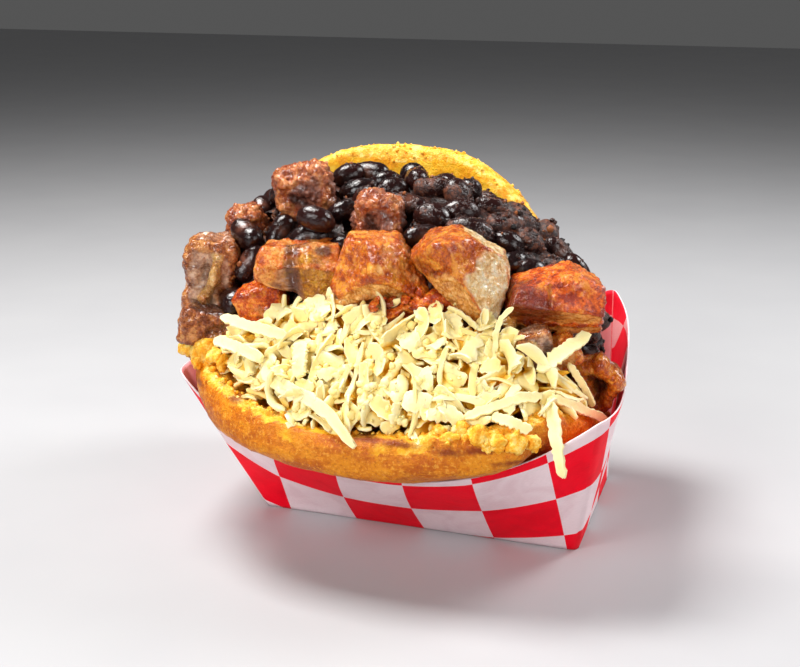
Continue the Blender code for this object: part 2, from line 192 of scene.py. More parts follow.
def triangles(faces):
    parts = []
    for group in faces if isinstance(faces, list) else [faces]:
        parts.append(group[:, :3])
        if group.shape[1] == 4:
            parts.append(group[:, [0, 2, 3]])
    return np.concatenate(parts)


def joined(bodies):
    """Many (points, faces, finish) as one, all faces as triangles."""
    starts = np.cumsum([0] + [len(points) for points, _, _ in bodies])
    return (
        np.concatenate([points for points, _, _ in bodies]),
        np.concatenate([faces + start for (_, faces, _), start in zip(bodies, starts)]),
        np.concatenate([finish for _, _, finish in bodies]),
    )


def tree_of(points, faces):
    return BVHTree.FromPolygons([Vector(p) for p in points], [tuple(int(i) for i in f) for f in faces])


def surface_of(*nodes):
    """Points and triangles of some nodes of the frame, as one."""
    parts = [read(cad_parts[node].data) for node in nodes]
    starts = np.cumsum([0] + [len(points) for points, _ in parts])
    return (
        np.concatenate([points for points, _ in parts]),
        np.concatenate([faces + start for (_, faces), start in zip(parts, starts)]),
    )


def scatter(points, faces, count, rng):
    """Places spread evenly over a surface, with the way out at each."""
    a, b, c = (points[faces[:, k]] for k in range(3))
    across = np.cross(b - a, c - a)
    area = np.linalg.norm(across, axis=1)
    pick = rng.choice(len(faces), count, p=area / area.sum())
    u, v = rng.random(count), rng.random(count)
    over = u + v > 1
    u[over], v[over] = 1 - u[over], 1 - v[over]
    place = a[pick] + (b - a)[pick] * u[:, None] + (c - a)[pick] * v[:, None]
    return place, unit(across[pick]), pick


def turn_to(forward, up):
    """Three axes as columns: the first along forward, the third as near up as it can be."""
    x = unit(forward)
    y = unit(np.cross(up, x))
    return np.stack((x, y, np.cross(x, y)), 1)


def pebble(radius, seed, cuts=2, rough=0.3):
    """A small irregular lump, as points and triangles."""
    work = bmesh.new()
    bmesh.ops.create_icosphere(work, subdivisions=cuts, radius=1.0)
    points = np.array([v.co for v in work.verts])
    faces = np.array([[v.index for v in f.verts] for f in work.faces])
    work.free()
    return points * (1 + rough * lumps(points, 0.8, seed))[:, None] * radius, faces


# ---------------------------------------------------------------- shader parts


def add(tree, kind, sockets=None, **settings):
    """A shader node. The sockets are given values, or other nodes' outputs to link."""
    node = tree.nodes.new("ShaderNode" + kind)
    for key, value in settings.items():
        setattr(node, key, value)
    for key, value in (sockets or {}).items():
        if isinstance(value, bpy.types.NodeSocket):
            tree.links.new(value, node.inputs[key])
        else:
            node.inputs[key].default_value = value
    return node


def mix(tree, share, first, second, kind="MIX"):
    node = add(tree, "Mix", {0: share, 6: first, 7: second}, data_type="RGBA", blend_type=kind)
    return node.outputs[2]


def sums(tree, operation, first, second=0.0):
    return add(tree, "Math", {0: first, 1: second}, operation=operation).outputs[0]


def ramp(tree, value, low, high, to_low=0.0, to_high=1.0):
    sockets = {"Value": value, "From Min": low, "From Max": high, "To Min": to_low, "To Max": to_high}
    return add(tree, "MapRange", sockets, interpolation_type="SMOOTHSTEP").outputs[0]


def group(name, inputs, outputs):
    """An empty node group with its sockets made: (tree, its input node, its output node)."""
    tree = bpy.data.node_groups.new(name, "ShaderNodeTree")
    for way, sockets in (("INPUT", inputs), ("OUTPUT", outputs)):
        for label, kind, *value in sockets:
            socket = tree.interface.new_socket(label, in_out=way, socket_type="NodeSocket" + kind)
            if value:
                socket.default_value = value[0]
    return tree, tree.nodes.new("NodeGroupInput"), tree.nodes.new("NodeGroupOutput")


def use(tree, name, sockets):
    node = tree.nodes.new("ShaderNodeGroup")
    node.node_tree = bpy.data.node_groups[name]
    for key, value in sockets.items():
        if isinstance(value, bpy.types.NodeSocket):
            tree.links.new(value, node.inputs[key])
        else:
            node.inputs[key].default_value = value
    return node.outputs


def grain_group():
    """Noise whose size is in millimetres, stretched along the axes."""
    tree, given, made = group(
        "grain",
        (("Size", "Float", 1.0), ("Stretch", "Vector", (1.0, 1.0, 1.0)), ("Detail", "Float", 3.0),
            ("Twist", "Float", 0.0)),
        (("Height", "Float"), ("Colour", "Color")),
    )
    place = add(tree, "TexCoord").outputs["Object"]
    share = sums(tree, "DIVIDE", 1000.0, given.outputs["Size"])
    scaled = add(tree, "VectorMath", {0: place, "Scale": share}, operation="SCALE").outputs[0]
    stretched = add(tree, "VectorMath", {0: scaled, 1: given.outputs["Stretch"]},
        operation="MULTIPLY").outputs[0]
    sockets = {
        "Vector": stretched, "Scale": 1.0, "Detail": given.outputs["Detail"], "Roughness": 0.6,
        "Distortion": given.outputs["Twist"],
    }
    pattern = add(tree, "TexNoise", sockets)
    tree.links.new(pattern.outputs["Fac"], made.inputs["Height"])
    tree.links.new(pattern.outputs["Color"], made.inputs["Colour"])


def mottle_group():
    """Three colours in soft patches of one size, broken up by finer ones."""
    tree, given, made = group(
        "mottle",
        (("Low", "Color"), ("Middle", "Color"), ("High", "Color"), ("Size", "Float", 5.0),
            ("Contrast", "Float", 1.0)),
        (("Colour", "Color"), ("Mask", "Float")),
    )
    size = given.outputs["Size"]
    coarse = use(tree, "grain", {"Size": size, "Detail": 2.0})[0]
    fine = use(tree, "grain", {"Size": sums(tree, "MULTIPLY", size, 0.22), "Detail": 3.0})[0]
    both = sums(tree, "ADD", sums(tree, "MULTIPLY", coarse, 0.62), sums(tree, "MULTIPLY", fine, 0.38))
    centred = sums(tree, "MULTIPLY", sums(tree, "SUBTRACT", both, 0.5), given.outputs["Contrast"])
    mask = ramp(tree, centred, -0.14, 0.14)
    low_half = mix(tree, ramp(tree, mask, 0.0, 0.5), given.outputs["Low"], given.outputs["Middle"])
    colour = mix(tree, ramp(tree, mask, 0.5, 1.0), low_half, given.outputs["High"])
    tree.links.new(colour, made.inputs["Colour"])
    tree.links.new(mask, made.inputs["Mask"])


def specks_group():
    """Small separate spots: a share of the cells of a pattern, each with a round spot in it."""
    tree, given, made = group(
        "specks",
        (("Spacing", "Float", 3.0), ("Share", "Float", 0.2), ("Radius", "Float", 0.2)),
        (("Mask", "Float"),),
    )
    place = add(tree, "TexCoord").outputs["Object"]
    scale = sums(tree, "DIVIDE", 1000.0, given.outputs["Spacing"])
    cells = add(tree, "TexVoronoi", {"Vector": place, "Scale": scale})
    pick = add(tree, "SeparateColor", {0: cells.outputs["Color"]}).outputs[0]
    chosen = sums(tree, "LESS_THAN", pick, given.outputs["Share"])
    outer = sums(tree, "MULTIPLY", given.outputs["Radius"], 1.7)
    near = add(tree, "MapRange", {"Value": cells.outputs["Distance"], "From Min": outer,
        "From Max": given.outputs["Radius"]})
    tree.links.new(sums(tree, "MULTIPLY", chosen, near.outputs[0]), made.inputs["Mask"])


def folds_group():
    """Fine raised folds, like the skin of wet cooked meat."""
    tree, given, made = group("folds", (("Size", "Float", 1.5),), (("Height", "Float"),))
    coarse = use(tree, "grain", {"Size": given.outputs["Size"], "Detail": 3.0, "Twist": 0.9})[0]
    away = sums(tree, "ABSOLUTE", sums(tree, "SUBTRACT", coarse, 0.5))
    crests = ramp(tree, away, 0.0, 0.16, 1.0, 0.0)
    broad = use(tree, "grain", {"Size": sums(tree, "MULTIPLY", given.outputs["Size"], 2.0), "Detail": 2.0})[0]
    tree.links.new(sums(tree, "ADD", sums(tree, "MULTIPLY", crests, 0.5), broad), made.inputs["Height"])


def edge_of_mask_group():
    """A painted share made uneven by noise, then sharpened."""
    tree, given, made = group(
        "ragged",
        (("Share", "Float", 0.5), ("Size", "Float", 2.0), ("Raggedness", "Float", 0.6),
            ("Softness", "Float", 0.18)),
        (("Mask", "Float"),),
    )
    wander = use(tree, "grain", {"Size": given.outputs["Size"], "Detail": 4.0})[0]
    push = sums(tree, "MULTIPLY", sums(tree, "SUBTRACT", wander, 0.5), given.outputs["Raggedness"])
    moved = sums(tree, "ADD", given.outputs["Share"], push)
    low = sums(tree, "SUBTRACT", 0.5, given.outputs["Softness"])
    high = sums(tree, "ADD", 0.5, given.outputs["Softness"])
    tree.links.new(ramp(tree, moved, low, high), made.inputs["Mask"])


def checks_group():
    """Printed checks, one unit a check in the sheet's own coordinates: the ink, and how it varies."""
    tree, given, made = group("printed checks", (),
        (("Ink", "Float"), ("Fibre", "Float"), ("Patch", "Float")))
    sheet = add(tree, "UVMap", uv_map="print").outputs[0]
    checker = add(tree, "TexChecker", {"Vector": sheet, "Color1": (0, 0, 0, 1), "Color2": (1, 1, 1, 1),
        "Scale": 1.0})
    tree.links.new(checker.outputs["Color"], made.inputs["Ink"])
    fibre = add(tree, "Mapping", {"Vector": sheet, "Scale": (6.0, 34.0, 1.0)})
    threads = add(tree, "TexNoise", {"Vector": fibre.outputs[0], "Scale": 3.0, "Detail": 3.0})
    tree.links.new(threads.outputs["Fac"], made.inputs["Fibre"])
    patch = add(tree, "TexNoise", {"Vector": sheet, "Scale": 1.7, "Detail": 4.0, "Distortion": 0.8})
    tree.links.new(patch.outputs["Fac"], made.inputs["Patch"])


def new_material(name):
    made = bpy.data.materials.new(name)
    made.use_nodes = True
    tree = made.node_tree
    return made, tree, tree.nodes["Principled BSDF"]


def finish_shares(tree):
    """The three painted shares of a mesh."""
    painted = add(tree, "Attribute", attribute_name="finish")
    return add(tree, "SeparateColor", {0: painted.outputs["Color"]}).outputs


def bump(tree, shader, height, distance, strength=1.0):
    node = add(tree, "Bump", {"Height": height, "Distance": distance * MM, "Strength": strength})
    tree.links.new(node.outputs[0], shader.inputs["Normal"])


def set_shader(tree, shader, **values):
    for key, value in values.items():
        label = key.replace("_", " ")
        if isinstance(value, bpy.types.NodeSocket):
            tree.links.new(value, shader.inputs[label])
        else:
            shader.inputs[label].default_value = value


# ---------------------------------------------------------------- materials


def paper(name, ink, ink_thin, bare, bare_shaded, roughness):
    made, tree, shader = new_material(name)
    printed = use(tree, "printed checks", {})
    patch = ramp(tree, printed["Patch"], 0.42, 0.68)
    inked = mix(tree, patch, srgb(*ink), srgb(*ink_thin))
    plain = mix(tree, patch, srgb(*bare), srgb(*bare_shaded))
    colour = mix(tree, printed["Ink"], plain, inked)
    threads = ramp(tree, printed["Fibre"], 0.3, 0.7, 0.95, 1.03)
    tinted = add(tree, "VectorMath", {0: colour, "Scale": threads}, operation="SCALE").outputs[0]
    crease = use(tree, "grain", {"Size": 9.0, "Detail": 2.0, "Twist": 0.6})["Height"]
    tooth = use(tree, "grain", {"Size": 0.7, "Detail": 2.0})["Height"]
    set_shader(tree, shader, Base_Color=tinted, Roughness=roughness, Specular_IOR_Level=0.08)
    bump(tree, shader, sums(tree, "ADD", crease, sums(tree, "MULTIPLY", tooth, 0.06)), 0.5, 0.5)
    return made


def paper_outside():
    return paper("paper outside", (254, 1, 36), (240, 1, 32), (245, 222, 226), (236, 207, 212), 0.55)


def paper_inside():
    return paper("paper inside", (254, 34, 58), (244, 26, 50), (252, 176, 182), (244, 152, 162), 0.5)


def paper_edge():
    made, tree, shader = new_material("paper cut edge")
    tone = use(tree, "grain", {"Size": 1.2})["Height"]
    colour = mix(tree, tone, srgb(226, 196, 203), srgb(250, 236, 238))
    set_shader(tree, shader, Base_Color=colour, Roughness=0.7)
    return made


def corn_dough():
    """Painted shares: browned crust, torn crumb, and scorch, which along the paper's rim is partly painted
    shadow. With none it is the smooth inner face.
    """
    made, tree, shader = new_material("corn dough")
    crust, torn, scorch_and_rim_shadow = finish_shares(tree)
    inner = use(tree, "mottle", {
        "Low": srgb(240, 156, 12), "Middle": srgb(251, 180, 26), "High": srgb(255, 200, 58),
        "Size": 7.0})["Colour"]
    crumb = use(tree, "mottle", {
        "Low": srgb(240, 156, 26), "Middle": srgb(252, 188, 58), "High": srgb(255, 218, 120),
        "Size": 2.6})["Colour"]
    baked = use(tree, "mottle", {
        "Low": srgb(182, 88, 5), "Middle": srgb(203, 111, 7), "High": srgb(220, 136, 18),
        "Size": 11.0})["Colour"]
    streaks = use(tree, "grain", {"Size": 1.5, "Stretch": (0.3, 0.8, 1.6), "Detail": 4.0})["Height"]
    baked = mix(tree, ramp(tree, streaks, 0.5, 0.68, 0.0, 0.32), baked, srgb(236, 160, 42))
    baked = mix(tree, ramp(tree, streaks, 0.48, 0.3, 0.0, 0.32), baked, srgb(160, 66, 3))
    sand = use(tree, "grain", {"Size": 0.9, "Detail": 2.0})["Height"]
    baked = mix(tree, ramp(tree, sand, 0.54, 0.68, 0.0, 0.5), baked, srgb(240, 176, 68))
    baked = mix(tree, ramp(tree, sand, 0.45, 0.32, 0.0, 0.4), baked, srgb(150, 62, 4))
    torn_mask = use(tree, "ragged", {"Share": torn, "Size": 3.0, "Raggedness": 0.9})["Mask"]
    crust_mask = use(tree, "ragged", {"Share": crust, "Size": 4.0, "Raggedness": 0.8,
        "Softness": 0.4})["Mask"]
    colour = mix(tree, torn_mask, inner, crumb)
    colour = mix(tree, crust_mask, colour, baked)
    # scorch marks, and along the paper's front rim a dark line that is partly painted shadow
    scorch_and_rim_shadow_mask = use(tree, "ragged", {"Share": scorch_and_rim_shadow, "Size": 1.3, "Raggedness": 1.0,
        "Softness": 0.45})["Mask"]
    colour = mix(tree, sums(tree, "MULTIPLY", scorch_and_rim_shadow_mask, 0.9), colour, srgb(124, 42, 4))
    dots = use(tree, "specks", {"Spacing": 3.0, "Share": 0.10, "Radius": 0.07})["Mask"]
    colour = mix(tree, sums(tree, "MULTIPLY", dots, 0.7), colour, srgb(110, 50, 12))
    grit = use(tree, "grain", {"Size": 0.6, "Detail": 2.0})["Height"]
    pores = use(tree, "grain", {"Size": 2.2, "Detail": 4.0})["Height"]
    height = sums(tree, "ADD", sums(tree, "MULTIPLY", grit, 0.7), sums(tree, "MULTIPLY", pores, 0.8))
    height = sums(tree, "ADD", height, sums(tree, "MULTIPLY", streaks, 0.3))
    rough = ramp(tree, streaks, 0.3, 0.7, 0.32, 0.5)
    set_shader(tree, shader, Base_Color=colour, Roughness=rough, Subsurface_Weight=0.1,
               Subsurface_Radius=(1.0, 0.6, 0.3), Subsurface_Scale=0.001, Specular_IOR_Level=0.22)
    bump(tree, shader, height, 0.55, 0.9)
    return made


def white_cheese():
    """Painted shares: depth in the heap, painted as deeper yellow shade; thinness of the flake, painted paler
    for light through thin edges; a tone of its own.
    """
    made, tree, shader = new_material("white cheese")
    depth, thin_edge_glow, tone = finish_shares(tree)
    face = mix(tree, tone, srgb(255, 230, 146), srgb(255, 240, 180))
    # painted light: the thin edges of each flake are painted paler, for light shining through them
    face = mix(tree, thin_edge_glow, face, srgb(255, 244, 200))
    # painted shade: deeper in the heap the cheese is painted a darker, deeper yellow
    shaded = mix(tree, ramp(tree, depth, 0.05, 0.5), face, srgb(255, 208, 84))
    colour = mix(tree, ramp(tree, depth, 0.35, 0.95), shaded, srgb(250, 180, 30))
    cloud = use(tree, "grain", {"Size": 3.0, "Detail": 3.0})["Height"]
    colour = mix(tree, ramp(tree, cloud, 0.5, 0.72, 0.0, 0.25), colour, srgb(255, 216, 104))
    curd = use(tree, "grain", {"Size": 0.9, "Detail": 3.0})["Height"]
    rough = ramp(tree, curd, 0.3, 0.7, 0.4, 0.55)
    set_shader(tree, shader, Base_Color=colour, Roughness=rough, Subsurface_Weight=0.25,
               Subsurface_Radius=(1.0, 0.9, 0.6), Subsurface_Scale=0.0006, Specular_IOR_Level=0.28)
    bump(tree, shader, curd, 0.3, 0.5)
    return made


def bean_skin():
    """Painted shares: coat of mash, tone of the skin, pale eye."""
    made, tree, shader = new_material("black bean skin")
    coat, tone, eye = finish_shares(tree)
    skin = mix(tree, tone, srgb(17, 6, 7), srgb(44, 18, 15))
    cloud = use(tree, "grain", {"Size": 3.0, "Detail": 3.0})["Height"]
    skin = mix(tree, ramp(tree, cloud, 0.45, 0.75, 0.0, 0.4), skin, srgb(62, 24, 18))
    paste = use(tree, "mottle", {
        "Low": srgb(32, 12, 9), "Middle": srgb(66, 31, 21), "High": srgb(116, 64, 40), "Size": 1.8})["Colour"]
    coat_mask = use(tree, "ragged", {"Share": coat, "Size": 2.2, "Raggedness": 1.5, "Softness": 0.12})["Mask"]
    colour = mix(tree, coat_mask, skin, paste)
    colour = mix(tree, eye, colour, srgb(126, 76, 58))
    wrinkle = use(tree, "grain", {"Size": 1.5, "Detail": 3.0, "Twist": 1.2})["Height"]
    grit = use(tree, "grain", {"Size": 0.6, "Detail": 3.0})["Height"]
    rough = mix(tree, coat_mask, (0.17, 0.17, 0.17, 1), (0.4, 0.4, 0.4, 1))
    height = sums(tree, "ADD", sums(tree, "MULTIPLY", wrinkle, 0.5), sums(tree, "MULTIPLY", grit, coat_mask))
    set_shader(tree, shader, Base_Color=colour, Roughness=rough, Specular_IOR_Level=0.45)
    bump(tree, shader, height, 0.45, 0.8)
    return made


def bean_mash():
    made, tree, shader = new_material("bean mash")
    share, warm, _ = finish_shares(tree)
    colour = use(tree, "mottle", {
        "Low": srgb(24, 9, 7), "Middle": srgb(58, 27, 18), "High": srgb(104, 56, 36), "Size": 2.2})["Colour"]
    colour = mix(tree, share, srgb(16, 8, 9), colour)
    warm_mask = use(tree, "ragged", {"Share": warm, "Size": 1.4, "Raggedness": 1.2})["Mask"]
    colour = mix(tree, sums(tree, "MULTIPLY", warm_mask, 0.8), colour, srgb(168, 96, 48))
    paste = use(tree, "grain", {"Size": 1.0, "Detail": 4.0})["Height"]
    rough = ramp(tree, paste, 0.35, 0.7, 0.24, 0.5)
    set_shader(tree, shader, Base_Color=colour, Roughness=rough, Specular_IOR_Level=0.35)
    bump(tree, shader, paste, 0.6, 0.9)
    return made


def meat(name, flesh, crust, fat, dark, fibre, rough_range):
    """Painted shares: browned crust, fat, and dark sauce, partly painted shade in grooves and on shaded
    faces. Colours are three tones, low to high; dark is one.
    """
    made, tree, shader = new_material(name)
    browned, fatty, sauce_and_shade = finish_shares(tree)

    def tones(colours, size):
        low, middle, high = (srgb(*tone) for tone in colours)
        return use(tree, "mottle", {"Low": low, "Middle": middle, "High": high, "Size": size})["Colour"]

    strands = use(tree, "grain", {"Size": 1.5, "Stretch": fibre, "Detail": 4.0, "Twist": 0.4})["Height"]
    folds = use(tree, "folds", {"Size": 1.5})["Height"]
    grit = use(tree, "grain", {"Size": 0.5, "Detail": 2.0})["Height"]
    colour = mix(tree, ramp(tree, strands, 0.42, 0.66, 0.0, 0.45), tones(flesh, 4.5), srgb(*flesh[2]))
    fat_mask = use(tree, "ragged", {"Share": fatty, "Size": 3.0, "Raggedness": 0.6})["Mask"]
    colour = mix(tree, fat_mask, colour, tones(fat, 3.0))
    crust_mask = use(tree, "ragged", {"Share": browned, "Size": 3.0, "Raggedness": 0.9,
        "Softness": 0.35})["Mask"]
    colour = mix(tree, crust_mask, colour, tones(crust, 3.4))
    # dark sauce, which in the grooves and on shaded faces is partly painted shade
    sauce_and_shade_mask = use(tree, "ragged", {"Share": sauce_and_shade, "Size": 2.2, "Raggedness": 0.8,
        "Softness": 0.35})["Mask"]
    colour = mix(tree, sums(tree, "MULTIPLY", sauce_and_shade_mask, 0.85), colour, srgb(*dark))
    plain = sums(tree, "ADD", sums(tree, "MULTIPLY", strands, 0.7), sums(tree, "MULTIPLY", grit, 0.2))
    wrinkled = sums(tree, "ADD", folds, sums(tree, "MULTIPLY", grit, 0.25))
    cooked = sums(tree, "MAXIMUM", crust_mask, fat_mask)
    height = add(tree, "Mix", {0: cooked, 2: plain, 3: wrinkled}, data_type="FLOAT").outputs[0]
    rough = ramp(tree, strands, 0.35, 0.7, *rough_range)
    set_shader(tree, shader, Base_Color=colour, Roughness=rough, Subsurface_Weight=0.15,
               Subsurface_Radius=(1.0, 0.5, 0.25), Subsurface_Scale=0.001, Coat_Weight=0.5,
               Coat_Roughness=0.06,
               Specular_IOR_Level=0.35)
    bump(tree, shader, height, 0.65, 1.0)
    return made


def browned_pork():
    return meat(
        "browned pork",
        ((176, 98, 28), (220, 146, 62), (250, 200, 128)),
        ((164, 60, 4), (210, 100, 12), (242, 156, 52)),
        ((222, 164, 92), (248, 212, 154), (255, 238, 204)),
        (78, 22, 4), (2.6, 0.6, 1.4), (0.16, 0.34),
    )


def golden_pork():
    return meat(
        "golden pork",
        # flesh tones darkened to match the shade on pork_step's middle: the flesh's own tan with painted
        # shade in it
        ((104, 52, 18), (146, 84, 36), (192, 128, 70)),
        ((180, 70, 8), (218, 112, 26), (246, 168, 84)),
        ((146, 82, 6), (186, 116, 16), (222, 160, 48)),
        (64, 20, 8), (1.4, 0.8, 1.4), (0.16, 0.34),
    )


def crisp_pork():
    return meat(
        "crisp pork skin",
        ((160, 80, 24), (206, 122, 46), (242, 178, 98)),
        ((156, 42, 2), (220, 90, 10), (250, 152, 48)),
        ((196, 120, 40), (228, 160, 72), (248, 206, 140)),
        (112, 24, 2), (1.2, 0.8, 1.6), (0.14, 0.3),
    )


def grey_pork():
    return meat(
        "stewed brown pork",
        ((124, 82, 62), (172, 124, 94), (218, 176, 144)),
        ((120, 56, 22), (172, 94, 42), (216, 148, 84)),
        ((180, 118, 54), (216, 160, 88), (242, 202, 140)),
        (50, 20, 14), (0.8, 1.2, 2.4), (0.16, 0.34),
    )


def stewed_beef():
    return meat(
        "stewed beef",
        ((66, 30, 24), (112, 62, 48), (158, 102, 80)),
        ((134, 54, 22), (182, 94, 44), (222, 146, 88)),
        ((92, 48, 40), (138, 86, 68), (186, 134, 108)),
        (30, 12, 10), (1.6, 1.2, 1.0), (0.22, 0.42),
    )


# ---------------------------------------------------------------- paper boat

BASE_CORNERS = ((-49.7, -31.4, 0.0), (49.7, -31.4, 0.0), (45.5, 31.4, 0.0), (-47.5, 31.4, 0.0))
RIM_CORNERS = ((-66.6, -50.9, 47.1), (61.0, -62.0, 50.0), (42.5, 43.0, 60.0), (-69.0, 44.0, 50.0))
RIM_DIP = (22.0, 4.0, 9.0, 3.0)
RIM_BULGE = (6.0, 6.0, 2.0, 6.0)
BASE_CORNER_RADIUS, RIM_CORNER_RADIUS = 3.0, 2.5
OUTWARD = ((0.0, -1.0, 0.0), (1.0, 0.0, 0.0), (0.0, 1.0, 0.0), (-1.0, 0.0, 0.0))
SHEET = 0.6
GAP = 0.35
PAPER = 0.45  # thickness that shows at the rim
CHECK = 20.3  # side of a printed check
# The front wall's print: where the third column starts and how wide a column is, at the base and at the rim
FIRST_COLUMN, COLUMN_SPREAD, COLUMN_WIDTH, COLUMN_SHRINK = -40.6, 7.6, 21.8, 1.6
# Height up the front wall of the line between its first two rows, from left to right
ROW_LINE_X = (-66.0, -56.4, -40.0, -18.5, 3.1, 25.2, 47.1, 61.0)
ROW_LINE_UP = (32.0, 26.3, 18.8, 17.8, 18.5, 21.2, 28.0, 34.0)


def wall_ends(side, t):
    """Points on the base edge and on the rim of one wall, at shares t of the way along it."""
    t = np.atleast_1d(t)[:, None]
    low_a, low_b = np.array(BASE_CORNERS[side]), np.array(BASE_CORNERS[(side + 1) % 4])
    high_a, high_b = np.array(RIM_CORNERS[side]), np.array(RIM_CORNERS[(side + 1) % 4])
    across = 2 * t - 1
    high = high_a + (high_b - high_a) * t - np.array((0, 0, 1)) * RIM_DIP[side] * (1 - abs(across) ** 2.2)
    high = high + np.array(OUTWARD[side]) * RIM_BULGE[side] * (1 - abs(across) ** 4)
    return low_a + (low_b - low_a) * t, high


def wall_at(side, along, z):
    """How far out a wall reaches at a place along it and a height, its lean going on above the rim."""
    axis = side % 2
    t = np.full(len(z), 0.5)
    for _ in range(10):
        low, high = wall_ends(side, t)
        rise = np.clip(z / high[:, 2], 0, 1.15)
        here = low + (high - low) * rise[:, None]
        low_ends, high_ends = wall_ends(side, np.array((0.0, 1.0)))
        span = (low_ends[1] - low_ends[0])[axis] * (1 - rise) + (high_ends[1] - high_ends[0])[axis] * rise
        t = np.clip(t + (along - here[:, axis]) / span, 0, 1)
    return here[:, 1 - axis]


def inside_boat(points, margin):
    """Points moved to stay inside the paper walls, and up off the front wall, on whose rim the cake rests."""
    moved = np.array(points, float)
    x, y, z = moved.T
    right = wall_at(1, y, z) - margin
    left = wall_at(3, y, z) + margin
    x = np.minimum(np.maximum(x, left), right)
    y = np.minimum(y, wall_at(2, x, z) - margin)
    t = np.full(len(x), 0.5)
    for _ in range(10):
        low, high = wall_ends(0, t)
        rise = np.clip((low[:, 1] - y) / (low[:, 1] - high[:, 1]), 0, 1.3)
        here = low + (high - low) * np.minimum(rise, 1)[:, None]
        t = np.clip(t + (x - here[:, 0]) / 115.0, 0, 1)
    floor = here[:, 2] - np.maximum(rise - 1, 0) * 40 + margin * 1.7
    z = np.where((rise > 0) & (rise < 1.3), np.maximum(z, floor), z)
    return np.stack((x, y, z), axis=1)


def boat_ring(rise, per_wall=64, per_corner=7):
    """Points round the outside at one share of the way up, and the wall and share of it each is on."""
    corner = BASE_CORNER_RADIUS + (RIM_CORNER_RADIUS - BASE_CORNER_RADIUS) * rise
    points, walls = [], []
    straight = np.linspace(0.0, 1.0, per_wall)
    insets = []
    for side in range(4):
        low, high = wall_ends(side, np.array((0.0, 1.0)))
        ends = low + (high - low) * rise
        insets.append(corner / np.linalg.norm(ends[1] - ends[0]))
    for side in range(4):
        t = insets[side] + (1 - 2 * insets[side]) * straight
        low, high = wall_ends(side, t)
        points.extend(low + (high - low) * rise)
        walls.extend((side, share) for share in t)
        following = (side + 1) % 4
        low, high = wall_ends(side, np.array((1 - insets[side], 1.0)))
        start, tip = low + (high - low) * rise
        low, high = wall_ends(following, np.array((insets[following],)))
        end = (low + (high - low) * rise)[0]
        for turn in np.linspace(0, 1, per_corner + 2)[1:-1]:
            # a quadratic curve from one wall to the next, drawn in towards the corner
            points.append((1 - turn) ** 2 * start + 2 * turn * (1 - turn) * tip + turn**2 * end)
            if turn < 0.5:
                walls.append((side, 1 - insets[side] * (1 - turn)))
            else:
                walls.append((following, insets[following] * turn))
    return np.array(points), walls


def front_print(x, up, rise):
    """Column and row of the print at a place on the front wall, in checks."""
    spread = rise**2
    column = (x - (FIRST_COLUMN + COLUMN_SPREAD * spread)) / (COLUMN_WIDTH - COLUMN_SHRINK * spread)
    line = np.interp(x, ROW_LINE_X, ROW_LINE_UP)
    return column, (up - line) / CHECK


def print_at(side, share, rise):
    """Column and row of the print anywhere on the boat."""
    low, high = wall_ends(side, share)
    here = (low + (high - low) * rise)[0]
    up = np.linalg.norm(high - low) * rise
    if side == 0:
        return front_print(here[0], up, rise)
    low_ends, high_ends = wall_ends(side, np.array((0.0, 1.0)))
    length = np.linalg.norm((low_ends[1] - low_ends[0]) * (1 - rise) + (high_ends[1] - high_ends[0]) * rise)
    tall = np.linalg.norm(high - low)
    if side == 1:
        corner, row = front_print(61.0 * rise + 49.7 * (1 - rise), up, rise)
        return corner + share * length / CHECK, row + share * 0.1
    # the left and rear walls are printed square to their own middles
    return (share - 0.5) * length / CHECK + (0.6 if side == 3 else 0.4), (up - tall + CHECK * 1.4) / CHECK


def paper_boat():
    levels = np.linspace(0.0, 1.0, 40)
    rings, sheet = [], []
    for rise in levels:
        points, walls = boat_ring(rise)
        rings.append(points)
        sheet.append([print_at(side, share, rise) for side, share in walls])
    outer = np.array(rings)
    around = outer.shape[1]
    sheet = np.array([[(float(np.ravel(u)[0]), float(np.ravel(v)[0])) for u, v in row] for row in sheet])
    along = np.roll(outer, -1, axis=1) - np.roll(outer, 1, axis=1)
    upwards = np.gradient(outer, axis=0)
    outward = unit(np.cross(along, upwards))
    # gentle buckles, none at the base or where the cake rests on the rim
    free = np.sin(np.linspace(0, math.pi, len(levels)))[:, None]
    buckle = lumps(outer.reshape(-1, 3), 26.0, 3).reshape(outer.shape[:2]) * 0.5 * free
    outer = outer + outward * buckle[..., None]
    inner = outer - outward * PAPER
    inner[0] = outer[0] * np.array((0.992, 0.988, 1.0)) + np.array((0, 0, PAPER))
    count = len(levels) * around
    k = np.arange(around)
    n = (k + 1) % around
    outside = np.concatenate([np.stack((k, n, n + around, k + around), 1) + i * around
        for i in range(len(levels) - 1)])
    inside = outside[:, ::-1] + count
    top = (len(levels) - 1) * around
    rim = np.stack((k + top, n + top, n + top + count, k + top + count), 1)
    centre = outer[0].mean(axis=0)
    points = np.concatenate((outer.reshape(-1, 3), inner.reshape(-1, 3), [centre, centre + (0, 0, PAPER)]))
    under = np.stack((n, k, np.full(around, 2 * count)), 1)
    floor = np.stack((k + count, n + count, np.full(around, 2 * count + 1)), 1)
    faces = [outside, inside, rim, under, floor]
    kinds = [0] * len(outside) + [1] * len(inside) + [2] * len(rim) + [0] * around + [1] * around
    boat = dress(
        "paper_boat", points, faces, [paper_outside(), paper_inside(), paper_edge()],
        ("paper_tray",)
    )
    mesh = boat.data
    mesh.polygons.foreach_set("material_index", np.array(kinds, np.int32))
    flat = sheet.reshape(-1, 2)
    base = centre[:2] / CHECK
    places = np.concatenate((flat, flat, [base, base]))
    corners = np.empty(len(mesh.loops), np.int32)
    mesh.loops.foreach_get("vertex_index", corners)
    layer = mesh.uv_layers.new(name="print")
    layer.data.foreach_set("uv", places[corners].astype(np.float32).ravel())


# ---------------------------------------------------------------- corn cake

